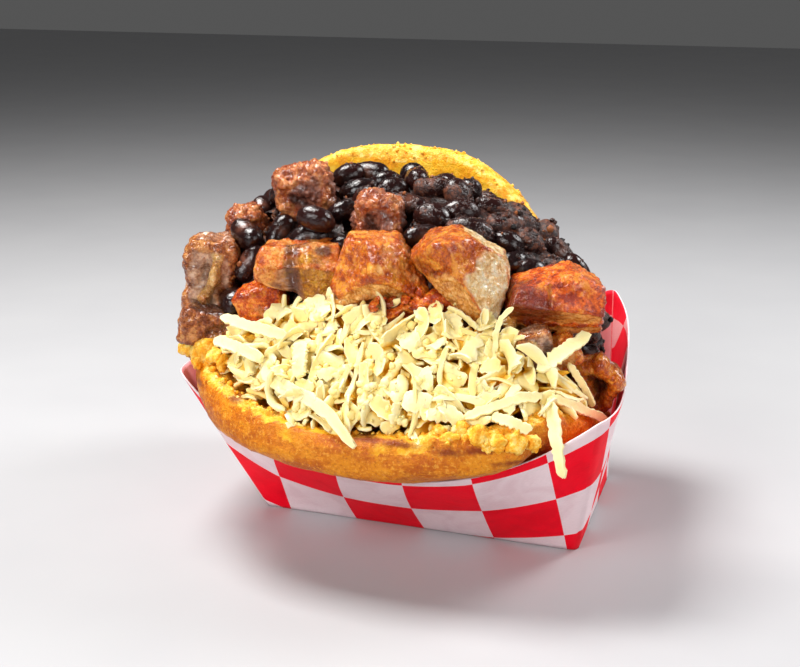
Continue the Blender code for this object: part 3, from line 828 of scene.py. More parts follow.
SHELL_HALF_THICKNESS = 6.2
CAKE_DETAIL = 0.85
HINGE_Y, HINGE_Z, HINGE_RADIUS = 11.0, 19.0, 12.0
FRONT_SLOPE, REAR_SLOPE = -21.0, 82.0
FRONT_RUN, REAR_RUN = 92.0, 89.0
FRONT_HALF_WIDTH, FRONT_RADIUS, FRONT_X = 64.0, 61.0, -5.5
REAR_HALF_WIDTH, REAR_RADIUS, REAR_X = 59.5, 60.0, -27.0
FRONT_CUP_LEFT, FRONT_CUP_RIGHT, HINGE_CUP, REAR_CUP = 23.0, 16.0, 4.0, 8.0
SQUARE_LEFT, SQUARE_RIGHT = 2.5, 3.2
LIP_THICKER, LIP_X, LIP_Y, LIP_REACH = 7.5, -57.0, -47.0, 20.0
# Scorched strokes on the front crust: middle, half length and half width
SCORCHES = (
    ((-55.9, -58.4, 47.4), 2.6, 0.9), ((-45.0, -66.0, 50.0), 2.2, 0.8), ((-39.2, -68.9, 47.8), 2.4, 0.8),
    ((-20.0, -74.0, 46.0), 3.0, 0.6), ((2.4, -75.0, 43.5), 4.0, 0.8), ((11.6, -75.9, 43.4), 5.5, 0.8),
    ((24.8, -74.6, 42.6), 3.6, 1.0), ((32.5, -73.3, 43.2), 4.0, 0.9), ((46.0, -63.0, 40.5), 4.0, 1.0),
    ((39.0, -68.0, 39.5), 5.0, 0.8),
)


def spine(s):
    """(y, z, heading in radians) along the middle of the opened cake, from the front lip up the back."""
    start, end = math.radians(FRONT_SLOPE), math.radians(REAR_SLOPE)
    bend = HINGE_RADIUS * (end - start)
    if s < FRONT_RUN:
        y, z = HINGE_Y + HINGE_RADIUS * math.sin(start), HINGE_Z - HINGE_RADIUS * math.cos(start)
        back = FRONT_RUN - s
        return y - back * math.cos(start), z - back * math.sin(start), start
    if s < FRONT_RUN + bend:
        angle = start + (s - FRONT_RUN) / HINGE_RADIUS
        return HINGE_Y + HINGE_RADIUS * math.sin(angle), HINGE_Z - HINGE_RADIUS * math.cos(angle), angle
    y, z = HINGE_Y + HINGE_RADIUS * math.sin(end), HINGE_Z - HINGE_RADIUS * math.cos(end)
    on = s - FRONT_RUN - bend
    return y + on * math.cos(end), z + on * math.sin(end), end


def spine_length():
    return FRONT_RUN + HINGE_RADIUS * math.radians(REAR_SLOPE - FRONT_SLOPE) + REAR_RUN


def cake_half_width(s, square):
    def disc(centre, radius, half, power):
        off = abs(s - centre) / radius
        return half * max(0.0, 1 - off**power) ** (1 / power)

    front = disc(FRONT_RADIUS, FRONT_RADIUS, FRONT_HALF_WIDTH, square)
    rear = disc(spine_length() - REAR_RADIUS, REAR_RADIUS, REAR_HALF_WIDTH, 2.05)
    return (front**6 + rear**6) ** (1 / 6) if min(front, rear) > 0 else max(front, rear)


def cake_ring(s, across, turn):
    """One closed loop round the slab at station s. Each point has its depth: -1 crust, 1 cut face."""
    y, z, heading = spine(s)
    length = spine_length()
    to_end = min(s, length - s)
    h = SHELL_HALF_THICKNESS
    if to_end < h:
        h *= math.sqrt(max(0.0, 1 - (1 - to_end / h) ** 2))
    halves = [cake_half_width(s, square) for square in (SQUARE_LEFT, SQUARE_RIGHT)]
    bend = FRONT_RUN + HINGE_RADIUS * math.radians(REAR_SLOPE - FRONT_SLOPE)
    share = float(smooth(s, FRONT_RUN - 30, bend + 20))
    centre = FRONT_X + (REAR_X - FRONT_X) * share
    to_hinge = float(smooth(s, FRONT_RUN - 40, FRONT_RUN + 4))
    up_back = (REAR_CUP - HINGE_CUP) * float(smooth(s, bend, bend + 40))
    cups = [cup + (HINGE_CUP - cup) * to_hinge + up_back for cup in (FRONT_CUP_LEFT, FRONT_CUP_RIGHT)]
    ups = np.linspace(-math.pi / 2, math.pi / 2, turn)[1:-1]
    loop = [(t, -1.0, 0.0) for t in np.linspace(-1, 1, across)]
    loop += [(1.0, math.sin(a), math.cos(a)) for a in ups]
    loop += [(-t, 1.0, 0.0) for t in np.linspace(-1, 1, across)]
    loop += [(-1.0, math.sin(a), -math.cos(a)) for a in ups[::-1]]
    out = []
    for t, side, outer in loop:
        half = halves[int(t > 0)]
        flat = max(half - h, half * 0.25)
        x = flat * t + outer * (half - flat)
        share_x = abs(x) / FRONT_HALF_WIDTH
        belly = max(0.0, 1 - (x / max(half, 1)) ** 2)
        deep = h * (1 + 0.16 * belly) if side < 0 else h * (1 - 0.12 * belly)
        offset = side * deep + cups[int(t > 0)] * share_x**2.3
        if side > 0:
            near = math.hypot(centre + x - LIP_X, y - LIP_Y) / LIP_REACH
            offset += LIP_THICKER * side * max(0.0, 1 - near * near) ** 2 * h / SHELL_HALF_THICKNESS
        out.append((
            centre + x, y - offset * math.sin(heading), z + offset * math.cos(heading),
            side * h / SHELL_HALF_THICKNESS,
        ))
    return out


def cake_rings(stations, across, turn):
    length = spine_length()
    share = np.linspace(0, 1, stations + 2)[1:-1]
    share = share - 0.12 * np.sin(2 * math.pi * share) / (2 * math.pi) * 2.2
    places = share * (length - 0.8) + 0.4
    rings = np.array([cake_ring(s, across, turn) for s in places])
    ends = np.array([(x, *spine(s)[:2], 0.0) for s, x in ((0.0, FRONT_X), (length, REAR_X))])
    return places, rings, ends


def uneven(points):
    """A hand-made edge and faces, kept inside the paper and off its base."""
    shape = points.shape
    points = points.reshape(-1, 3).copy()
    up = 0.9 * lumps(points, 22.0, 1) + 0.5 * lumps(points, 9.0, 2)
    back, side = 0.6 * lumps(points, 16.0, 3), 0.8 * lumps(points, 18.0, 4)
    points += np.stack((side, back, up), axis=1)
    points = inside_boat(points, 1.9)
    points[:, 2] = np.maximum(points[:, 2], SHEET + GAP)
    return points.reshape(shape)


def corn_cake(dough):
    places, rings, ends = cake_rings(150, 60, 13)
    depth = np.concatenate((rings[..., 3].ravel(), ends[:, 3]))
    station = np.concatenate((np.repeat(places, rings.shape[1]), (0.0, spine_length())))
    points, faces = loft(uneven(rings[..., :3]), uneven(ends[:, :3]))
    even, quads = remeshed(points, faces, CAKE_DETAIL)
    nearest = KDTree(len(points))
    for i, p in enumerate(points):
        nearest.insert(p, i)
    nearest.balance()
    which = np.array([nearest.find(p)[1] for p in even])
    depth, station = depth[which], station[which]
    even = relaxed(even, quads, 2)
    rear = smooth(station, FRONT_RUN + 4, FRONT_RUN + 24)
    wander = 0.22 * lumps(even, 11.0, 21) + 0.12 * lumps(even, 4.0, 22)
    # the front crust turns to torn crumb part way round the lip, the back's whole edge is crumb
    patchy = np.exp(-(((even[:, 0] + 58) / 13) ** 2)) + np.exp(-(((even[:, 0] - 33) / 19) ** 2))
    torn_front = smooth(depth + wander + 0.5 * patchy, 0.78, 0.98)
    torn_rear = smooth(depth + wander, -0.45, -0.2) * (1 - smooth(depth, 0.985, 0.999))
    torn = torn_front * (1 - rear) + torn_rear * rear
    crust_front = 1 - smooth(depth + 0.7 * wander + 0.25 * patchy, 0.55, 0.9)
    crust = crust_front * (1 - rear) + (1 - smooth(depth + wander, -0.5, -0.25)) * rear
    scorch_and_rim_shadow = np.zeros(len(even))
    for middle, half_length, half_width in SCORCHES:
        off = even - np.array(middle)
        along, over = off[:, 0] * 0.97 + off[:, 1] * 0.1, off[:, 2]
        near = (along / half_length) ** 2 + (over / half_width) ** 2 + (off[:, 1] / 6) ** 2
        scorch_and_rim_shadow = np.maximum(scorch_and_rim_shadow, np.exp(-near * 0.8))
    # a dark line along the paper's front rim: partly crust browned at its edge, partly painted shadow where
    # the cake meets the paper
    rim = KDTree(160)
    for i, p in enumerate(wall_ends(0, np.linspace(0, 1, 160))[1]):
        rim.insert(p, i)
    rim.balance()
    near_rim = np.array([rim.find(p)[2] if p[1] < -40 else 99.0 for p in even])
    scorch_and_rim_shadow = np.maximum(scorch_and_rim_shadow, 0.95 * np.exp(-((near_rim / 3.2) ** 2)))
    way = normals(even, quads)
    clods = grains(even, 4.2, 5) + 0.5 * grains(even, 2.0, 6)
    relief = torn * (1 - 0.85 * rear) * 1.3 * (clods - 0.75)
    relief += 0.3 * torn * rear * (grains(even, 1.6, 8) - 0.5)
    relief += (0.2 * lumps(even, 3.0, 9) + 0.14 * lumps(even, 1.3, 10)) * (1 + 0.5 * torn)
    even = even + way * relief[:, None]
    finish = np.stack((crust, torn, scorch_and_rim_shadow), 1)
    dress("corn_cake", even, quads, dough, ("arepa",), finish)
    return even, triangles(quads), torn


# Torn clods of dough along the lip: place and half size
CLODS = (
    ((-66.6, -46.4, 54.2), 2.7), ((-63.6, -49.6, 54.6), 3.3), ((-60.0, -51.6, 54.0), 2.9),
    ((-56.6, -52.8, 55.0), 3.4),
    ((-52.8, -54.2, 54.2), 2.8), ((-49.4, -56.0, 53.0), 2.3), ((-67.2, -42.0, 51.8), 2.8),
    ((-58.6, -53.6, 51.6), 2.2),
    ((27.0, -70.4, 47.0), 2.1), ((31.6, -71.4, 46.4), 2.9), ((36.4, -71.2, 45.2), 2.5),
    ((40.8, -69.2, 45.2), 3.0),
    ((45.0, -66.6, 44.4), 2.4), ((34.0, -72.6, 44.6), 1.8), ((21.0, -72.4, 47.0), 1.6),
)


def dough_crumbs(dough, points, faces, torn):
    """Torn clods and loose grains of dough on the torn edges."""
    rng = np.random.default_rng(5)
    place, way, pick = scatter(points, faces, 9000, rng)
    share = torn[faces[pick]].mean(axis=1)
    keep = np.nonzero((share > 0.6) & ((place[:, 2] > 60) | (place[:, 1] < -48)))[0][:420]
    bodies = []
    for number, (spot, size) in enumerate(CLODS):
        lump, corners = pebble(1.0, number + 3, 4, 0.42)
        shape = lump * rng.uniform(0.8, 1.25, 3) * size
        shape = shape + lump * (0.5 * grains(shape, 1.7, number) - 0.3)[:, None]
        bodies.append((shape + np.array(spot), corners, np.tile((0.0, 1.0, 0.0), (len(lump), 1))))
    for i in keep:
        radius = rng.uniform(0.25, 0.65) if place[i, 2] > 60 else rng.uniform(0.35, 1.3)
        lump, corners = pebble(1.0, int(i) % 97, 1)
        lump = lump * rng.uniform(0.7, 1.2, 3) * radius
        bodies.append((lump + place[i] + way[i] * radius * 0.2, corners,
            np.tile((0.0, 1.0, 0.0), (len(lump), 1))))
    points, faces, finish = joined(bodies)
    dress("dough_crumbs", points, faces, dough, (), finish)


# ---------------------------------------------------------------- meat


def normal_of(around, lean=0.0):
    a, b = math.radians(around), math.radians(lean)
    return np.array((math.cos(a) * math.cos(b), -math.sin(b), math.sin(a) * math.cos(b)))


def block(width, depth, height, tilt=0.0):
    return (
        (tilt, 0, width), (tilt + 180, 0, width), (tilt + 90, 0, height), (tilt + 270, 0, height),
        (0, 90, depth), (0, -90, depth),
    )


# Each piece: centre, sharpness, roughness, and the faces that bound it (angle round, lean, distance)
MEAT = {
    "pork_big": ((-5.6, -43.5, 80.5), 12, 0.5, (
        (88, 0, 9.6), (160, 0, 12.2), (225, 0, 12.8), (270, 0, 10.4), (-55, 0, 11.0), (33, 0, 8.8),
        (30, 42, 9.4), (160, 45, 10.5), (262, 50, 9.0), (0, 90, 11.5), (0, -90, 12.0),
    )),
    "pork_pale": ((17.7, -42.5, 79.4), 12, 0.5, (
        (135, 0, 15.0), (95, 0, 13.6), (60, 0, 11.8), (10, 0, 13.0), (-24, 0, 12.0), (-75, 0, 15.4),
        (221, 0, 6.4),
        (25, 50, 9.0), (215, 45, 7.0), (0, 90, 11.0), (0, -90, 12.0),
    )),
    "pork_crisp": ((40.6, -34.0, 74.6), 12, 0.5, (
        (105, 0, 7.3), (65, 0, 10.2), (0, 0, 13.2), (270, 0, 8.6), (155, 0, 11.5), (205, 0, 12.6),
        (80, 60, 10.5), (265, 45, 8.6), (0, -90, 10.0),
    )),
    "pork_step": ((-31.6, -42.5, 79.7), 10, 0.6, (
        (92, 0, 6.7), (0, 0, 12.0), (-30, 0, 11.8), (-75, 0, 9.0), (250, 0, 5.8), (180, 0, 11.8),
        (150, 0, 11.2),
        (88, 45, 7.4), (0, 90, 8.6), (0, -90, 9.0),
    )),
    "pork_left": ((-62.7, -36.0, 73.2), 6, 1.1, block(7.8, 8.0, 11.8, -6)),
    "pork_low": ((-58.8, -45.2, 60.7), 6, 0.8, block(8.6, 7.5, 5.8, -14)),
    "pork_nub": ((-41.2, -46.3, 70.1), 6, 0.6, block(7.6, 6.5, 5.2, 22)),
    "pork_scrap": ((-62.0, -45.5, 53.7), 5, 0.8, block(4.6, 4.2, 3.4, 20)),
    "pork_grey": ((39.8, -46.5, 63.3), 6, 0.7, block(4.8, 5.0, 6.0, 12)),
    "pork_small": ((45.4, -41.5, 62.0), 6, 0.7, block(4.8, 4.6, 4.6, 30)),
    "pork_curl": ((51.3, -31.0, 50.5), 5, 0.9, block(6.0, 5.5, 7.0, -12)),
    "crackling": ((5.9, -45.0, 71.3), 5, 1.2, block(12.0, 5.0, 3.6, 16)),
    "beef_top": ((-41.0, -16.0, 97.0), 4, 1.2, block(8.6, 8.2, 8.2, 10)),
    "beef_mid": ((-14.6, -23.3, 91.8), 4, 1.1, block(7.2, 7.0, 7.4, -10)),
    "beef_side": ((-56.5, -22.4, 85.8), 4, 1.1, block(6.0, 6.0, 7.2, 20)),
}
KINDS = {
    "pork_step": "golden", "pork_crisp": "crisp", "crackling": "crisp", "pork_nub": "crisp",
    "pork_left": "grey",
    "pork_low": "grey", "pork_scrap": "grey", "pork_grey": "grey", "pork_curl": "browned",
}
# What covers each of those faces, in the same order: (browned, fat, dark sauce, blisters, fibres)
COVERS = {
    "c": (1.0, 0.0, 0.0, 0.35, 0.1), "b": (0.62, 0.1, 0.0, 0.7, 0.1), "f": (0.0, 0.0, 0.0, 0.0, 0.5),
    "s": (0.45, 0.0, 0.0, 0.3, 0.3), "w": (0.0, 0.8, 0.0, 0.35, 0.3), "d": (0.7, 0.0, 1.0, 0.2, 0.2),
}
COVERED = {
    # pork_crisp's sixth face, its left end, is given dark sauce ('d') as painted shade
    "pork_big": "bcsffbbcffs", "pork_pale": "ccwwwffwfws", "pork_crisp": "cbbfcdcfc",
    "pork_step": "cwwwfccsfs",
    "pork_left": "ssssfs", "pork_low": "dcddcs", "pork_nub": "cccccc", "pork_scrap": "wwwwww",
    "pork_grey": "ffsdfs", "pork_small": "ccccsc", "pork_curl": "ccccbc", "crackling": "cccccc",
    "beef_top": "fscffs", "beef_mid": "ffsffs", "beef_side": "sscfcs",
}
# Ridges, grooves and spots on the side that faces forwards: two ends (right and up of the middle),
# reach, height, and how much browning, fat and sauce they add. The dark sauce in the grooves is partly
# painted shade in the creases.
MARKS = {
    "pork_big": (
        ((-4.2, 11.0), (-2.5, 2.6), 1.1, 0.7, (0.8, 0, 0)),
        ((-2.5, 2.6), (12.0, -4.6), 1.0, 0.8, (0.9, 0, 0)),
        ((-4.5, -8.0), (3.5, -9.5), 3.0, 0.6, (1.0, 0, 0.8)),
        ((-11.0, 3.0), (-9.0, 8.0), 3.0, 0.2, (0.6, 0, 0.1)),
    ),
    "pork_pale": (
        ((-9.5, 8.5), (1.0, 11.5), 4.8, 0.5, (1.1, -0.6, 0)),
        ((-12.5, 7.0), (-9.0, 3.5), 2.6, 0.1, (0.6, -0.4, 0.5)),
        ((-8.5, 3.2), (4.0, 10.2), 0.8, -0.6, (0.5, 0, 0.1)),
        ((-1.8, 6.8), (1.0, 6.6), 2.0, 0.3, (1.1, 0, 0)),
        ((-6.2, 2.9), (5.3, -13.2), 0.8, 0.4, (0, 0.3, 0)),
    ),
    "pork_crisp": (
        ((-8.0, 1.0), (-6.0, -1.0), 5.6, 0.0, (0.4, 0, 1.2)),
        ((-1.3, 7.0), (-1.6, 1.0), 0.8, -0.6, (0.4, 0, 0.3)),
        ((-7.0, -5.2), (12.0, -5.0), 0.9, 0.5, (1.0, 0, 0)),
    ),
    "pork_step": (
        ((-9.0, 5.0), (-9.5, 1.0), 4.4, 0.4, (1.2, -0.5, 0.05)),
        ((3.6, 3.4), (5.2, -6.4), 3.2, 1.9, (-0.4, 1.3, 0)),
        ((-1.8, 2.2), (-0.8, -5.0), 2.6, -1.1, (-0.2, -0.4, 0.8)),
        ((9.6, 3.6), (9.2, -2.5), 2.0, 0.5, (0.1, 0.7, 0)),
        ((6.5, 5.6), (8.6, 5.4), 1.5, 0.1, (0.6, 0, 1.0)), ((-2.5, 6.2), (3.0, 6.4), 1.5, 0.2, (1.0, 0, 0.6)),
    ),
    "pork_left": (
        ((3.3, 7.6), (1.8, 0.9), 1.6, 1.3, (0.1, 1.0, 0)),
        ((1.8, 0.9), (-1.4, -4.9), 1.7, 1.5, (0.2, 1.0, 0)),
        ((-1.4, -4.9), (-1.2, -11.0), 1.8, 1.2, (0.5, 0.7, 0)),
        ((0.2, 6.2), (-1.4, 0.5), 1.3, -1.0, (0, -0.3, 0.5)),
        ((3.8, -3.0), (4.4, -9.0), 2.4, 0.2, (0.9, 0, 0.2)),
        ((-1.5, -1.6), (-6.5, -1.2), 1.3, -1.3, (0, 0, 0.5)),
        ((-2.0, 10.0), (3.5, 10.0), 2.0, 0.2, (0.2, 0.7, 0)),
    ),
    "pork_low": (
        ((-6.0, 3.6), (-4.0, 1.0), 3.0, 0.7, (0.4, 0.5, -0.8)),
        ((0.0, 0.0), (5.0, 1.0), 2.4, -0.9, (0, 0, 0.6)),
    ),
    "pork_nub": (
        ((-5.0, 3.0), (4.0, 4.0), 2.0, 0.2, (0, 0, 0.45)),
        ((-1.0, -1.0), (2.0, -3.0), 2.0, 0.3, (-0.5, 0.9, 0)),
    ),
    "pork_grey": (((-2.0, 2.0), (-1.2, 1.0), 2.0, 0.5, (0, 1.2, -0.5)),
        ((2.5, 3.0), (3.0, -3.0), 1.8, -0.6, (0, 0, 0.8))),
    "pork_small": (((-2.0, 1.0), (2.0, 2.0), 1.8, 0.6, (0, 0.5, 0)),),
    "pork_curl": (
        ((-3.4, 5.0), (2.0, 6.6), 2.2, 1.6, (0, 0.3, 0)), ((2.0, 6.6), (6.0, 2.0), 2.2, 1.7, (0, 0.2, 0)),
        ((6.0, 2.0), (4.6, -4.0), 2.2, 1.2, (0, 0, 0)), ((-0.5, 3.0), (2.6, 1.0), 1.6, -2.6, (0.2, 0, 0.8)),
        ((2.6, 1.0), (2.0, -3.0), 1.3, -2.4, (0.2, 0, 0.8)),
        ((-2.6, 1.0), (-1.2, -3.5), 1.8, 1.2, (0, 0.5, 0)),
    ),
    "crackling": (
        ((-10.0, -1.0), (-2.0, 1.5), 1.3, 1.2, (0.3, 0, 0.2)),
        ((0.0, 2.5), (5.0, 4.5), 1.4, 1.5, (0, 0.2, 0)),
        ((2.0, -0.5), (4.0, 0.5), 1.6, 1.0, (-0.8, 0.9, 0)),
        ((-4.0, 0.0), (0.0, -1.0), 1.2, -1.4, (0, 0, 0.7)),
        ((6.0, 0.0), (8.0, -2.0), 1.8, -1.2, (0, 0, 0.8)),
    ),
    "beef_top": (
        ((-5.0, 2.0), (0.0, 4.5), 2.0, 1.2, (0.5, 0, 0)), ((1.0, 1.5), (5.5, -2.0), 2.2, 1.0, (0, 0.3, 0)),
        ((-3.0, -1.5), (2.0, -4.0), 1.6, -1.6, (0, 0, 0.7)),
        ((-6.0, -3.0), (-3.0, -6.0), 2.0, 1.0, (0.3, 0, 0)),
        ((2.0, 6.0), (4.5, 3.5), 1.2, -1.2, (0, 0, 0.5)),
    ),
    "beef_mid": (
        ((-3.5, 4.0), (1.5, 5.0), 1.8, 1.1, (0.5, 0.2, 0)),
        ((1.5, 1.0), (3.0, -4.0), 1.8, 1.2, (0.2, 0.3, 0)),
        ((-2.5, 1.5), (0.0, -4.0), 1.4, -1.6, (0, 0, 0.7)),
        ((-5.0, -1.0), (-4.0, -4.0), 1.6, 0.8, (0.3, 0, 0)),
    ),
    "beef_side": (((-3.0, 3.0), (2.0, 4.0), 1.7, 1.2, (0.7, 0, 0)),
        ((-1.0, 0.0), (2.0, -3.0), 1.5, -1.4, (0, 0, 0.7))),
}


def cube_ball(n):
    """Directions spread over a ball, from a cube cut n by n on each side, and its quads."""
    work = bmesh.new()
    bmesh.ops.create_cube(work, size=2.0)
    bmesh.ops.subdivide_edges(work, edges=work.edges, cuts=n - 1, use_grid_fill=True)
    work.verts.index_update()
    directions = np.array([Vector([math.tan(c * math.pi / 4) for c in v.co]).normalized()
        for v in work.verts])
    faces = np.array([[v.index for v in f.verts] for f in work.faces])
    work.free()
    return directions, faces


def turned(points):
    """From the axes that a piece of meat is cut in to the model's."""
    c, s = math.cos(FACING), math.sin(FACING)
    return np.stack((points[:, 0] * c - points[:, 1] * s, points[:, 0] * s + points[:, 1] * c, points[:, 2]),
        axis=1)


def wrinkles(points, size, seed):
    """Fine raised folds: 1 along each crest, falling to 0 between them."""
    return 1 - np.minimum(1, np.abs(lumps(points, size, seed)) * 3.2)


def chunk(name, finish_material):
    centre, sharpness, rough, bounds = MEAT[name]
    detail = 46 if name in ("pork_big", "pork_pale", "pork_crisp", "pork_step", "pork_left") else 34
    directions, faces = cube_ball(detail)
    ways = np.array([normal_of(around, lean) for around, lean, _ in bounds])
    pull = np.maximum(directions @ ways.T, 0.0) / np.array([distance for _, _, distance in bounds])
    crisp = sharpness * (3.2 if sharpness > 8 else 1.1 if sharpness > 4 else 0.9)
    reach = (pull**crisp).sum(axis=1) ** (-1.0 / crisp)
    seed = 11 + sorted(MEAT).index(name)
    surface = directions * reach[:, None]
    reach = reach + rough * (lumps(surface, 7.0, seed) + 0.5 * lumps(surface, 3.4, seed + 40))
    surface = directions * reach[:, None]
    share = pull ** (crisp * 2)
    share = share / share.sum(axis=1, keepdims=True)
    cover = share @ np.array([COVERS[letter] for letter in COVERED[name]])
    soft = pull ** (crisp * 0.45)
    edge = 1 - smooth(soft.max(axis=1) / soft.sum(axis=1), 0.52, 0.85)
    cover[:, 0] += edge * (0.75 + 0.5 * lumps(surface, 4.0, seed + 11)) * (1 - 0.45 * cover[:, 1])
    way = normals(surface, faces)
    height = np.zeros(len(surface))
    wander = 1 + 0.35 * lumps(surface, 2.6, seed + 7)
    for start, end, wide, tall, adds in MARKS.get(name, ()):
        start, run = np.array(start), np.array(end) - np.array(start)
        off = surface[:, [0, 2]] - start
        along = np.clip(off @ run / max(run @ run, 1e-6), 0, 1)
        apart = np.linalg.norm(off - along[:, None] * run, axis=1) / wide * wander
        near = np.exp(-(apart**2)) * smooth(-surface[:, 1], -3.0, 2.0)
        height += tall * near
        # grooves add dark sauce: partly sauce, partly painted shade in the crease
        cover[:, :3] += near[:, None] * np.array(adds)
    blistered, fibrous = cover[:, 3], cover[:, 4]
    lumpy = rough / 0.8
    height += lumpy * (0.5 * lumps(surface, 3.0, seed + 3) + 0.3 * lumps(surface, 1.6, seed + 4))
    height += blistered * (0.75 * grains(surface, 1.9, seed) + 0.3 * wrinkles(surface, 2.2, seed + 8) - 0.45)
    height += fibrous * 0.7 * lumps(surface * (0.35, 1.0, 1.7), 1.4, seed + 5)
    if name.startswith("beef"):
        height += 1.3 * grains(surface, 4.2, seed + 9) + 0.7 * grains(surface, 2.0, seed + 10) - 1.1
    surface = surface + way * height[:, None]
    placed = turned(surface) + np.array(centre)
    dress(name + "_cut", placed, faces, finish_material, (name,), cover[:, :3])
    return placed, triangles(faces)


# Small pale scraps of pork where the cheese meets the chunks: place and half size
PALE_SCRAPS = (((-16.2, -49.6, 72.4), 3.1), ((-19.8, -48.0, 73.4), 2.2), ((30.6, -43.8, 69.0), 2.4))


def crackling_bits(finish_material):
    """Crisp shreds round the crackling and small scraps of meat among the beans."""
    rng = np.random.default_rng(61)
    middle = np.array(MEAT["crackling"][0])
    bodies = []
    for number in range(46):
        spot = turned(np.array([[rng.uniform(-12.5, 8.0), rng.uniform(-5.5, -1.5),
            rng.uniform(-1.5, 4.6)]]))[0] + middle
        lump, corners = pebble(1.0, number + 7, 2, 0.55)
        size = rng.uniform(0.6, 1.7)
        axes = turn_to(unit(rng.normal(size=3)), UPWARD)
        shape = (lump * (rng.uniform(1.0, 2.2), 0.8, 0.5) * size) @ axes.T
        tone = (0.9, float(rng.random() < 0.3) * 0.9, float(rng.random() < 0.3) * 0.7)
        bodies.append((shape + spot, corners, np.tile(tone, (len(lump), 1))))
    for spot, size in PALE_SCRAPS:
        lump, corners = pebble(1.0, int(size * 10), 3, 0.45)
        shape = lump * np.array((1.25, 0.9, 0.8)) * size + np.array(spot)
        bodies.append((shape, corners, np.tile((0.0, 1.0, 0.0), (len(lump), 1))))
    points, faces, finish = joined(bodies)
    dress("crackling_bits", points, faces, finish_material, (), finish)


# ---------------------------------------------------------------- beans

BEAN_LENGTH, BEAN_WIDTH = 12.0, 8.8
# Beans that stand out: a place on the heap, the heading of their length in degrees, length, width, coat, tone
PLACED_BEANS = (
    ((-44.0, -29.9, 88.1), 72, 11.4, 7.6, 0.1, 0.2), ((-33.3, -33.3, 88.4), 12, 13.6, 10.2, 0.0, 0.1),
    ((-27.4, -6.1, 98.2), 22, 13.0, 8.8, 0.0, 0.1), ((-22.4, 0.4, 100.1), 5, 11.0, 8.0, 0.0, 0.1),
    ((-26.1, -23.7, 94.5), 40, 10.0, 8.2, 0.1, 0.1), ((-17.1, -4.2, 98.9), 60, 10.0, 7.6, 0.2, 0.4),
    ((-62.4, -17.6, 86.7), 40, 11.5, 8.4, 0.4, 0.7), ((-50.7, -37.1, 79.4), 80, 12.5, 8.4, 0.2, 0.6),
    ((-21.0, -36.2, 86.8), 0, 9.0, 7.0, 0.0, 0.1), ((-9.0, -14.1, 96.3), -50, 13.0, 9.4, 0.45, 0.4),
    ((-5.7, -1.2, 99.2), 10, 11.5, 7.4, 0.6, 0.6), ((0.6, -27.3, 89.8), 20, 11.6, 8.2, 0.2, 0.2),
    ((7.0, -12.4, 94.9), 5, 12.6, 9.0, 0.3, 0.6), ((13.8, -21.7, 91.7), -25, 15.0, 10.0, 0.35, 0.4),
    ((12.3, 4.4, 93.4), -10, 12.0, 7.4, 0.5, 0.6), ((22.5, 4.0, 89.8), -20, 12.0, 7.4, 0.5, 0.7),
    ((28.6, -10.1, 86.9), -30, 11.0, 8.6, 0.6, 0.4), ((23.9, -17.9, 87.6), -60, 10.0, 7.6, 0.2, 0.3),
    ((35.3, 0.1, 82.2), -60, 11.0, 7.8, 0.4, 0.5), ((32.9, -23.5, 81.1), 0, 11.8, 8.8, 0.1, 0.2),
    ((41.9, -2.2, 76.7), -30, 10.5, 7.4, 0.2, 0.7), ((37.9, -15.0, 80.6), 10, 9.6, 7.4, 0.5, 0.4),
    ((27.2, -25.7, 83.7), 30, 9.6, 7.6, 0.2, 0.1), ((46.0, -29.0, 65.5), 10, 10.5, 7.8, 0.3, 0.3),
    ((48.3, -8.3, 56.6), -40, 11.0, 8.4, 0.3, 0.5), ((49.2, -17.1, 56.4), -20, 10.5, 8.0, 0.2, 0.3),
)
# Each layer of strewn beans: how deep it lies, how far apart they are, how many places are tried
BEAN_LAYERS = ((2.0, 8.3, 3600), (5.8, 8.0, 1800))
CLEAR_OF_BEANS = np.array((-16.5, -45.0, 69.0))  # the top of the cheese, where no bean shows
CLEAR_REACH = 9.5


def bean_shape(around=16, levels=11):
    """A kidney shape of unit half sizes, long in X, and where its pale eye is."""
    along = np.linspace(0, math.pi, levels + 2)[1:-1]
    turn = np.linspace(0, 2 * math.pi, around, endpoint=False)
    x = np.cos(along)[:, None] * np.ones(around)
    wide = (np.sin(along) ** 0.82)[:, None]
    y, z = wide * np.cos(turn), wide * np.sin(turn)
    hollow = np.exp(-((x / 0.38) ** 2)) * np.maximum(np.cos(turn), 0) ** 2
    y = y + 0.2 * x**2 - 0.16 * hollow
    points, faces = loft(np.stack((x, y, z), 2), ((1, 0.2, 0), (-1, 0.2, 0)))
    eye = np.concatenate(((hollow**3).ravel(), (0, 0)))
    return points, triangles(faces), eye


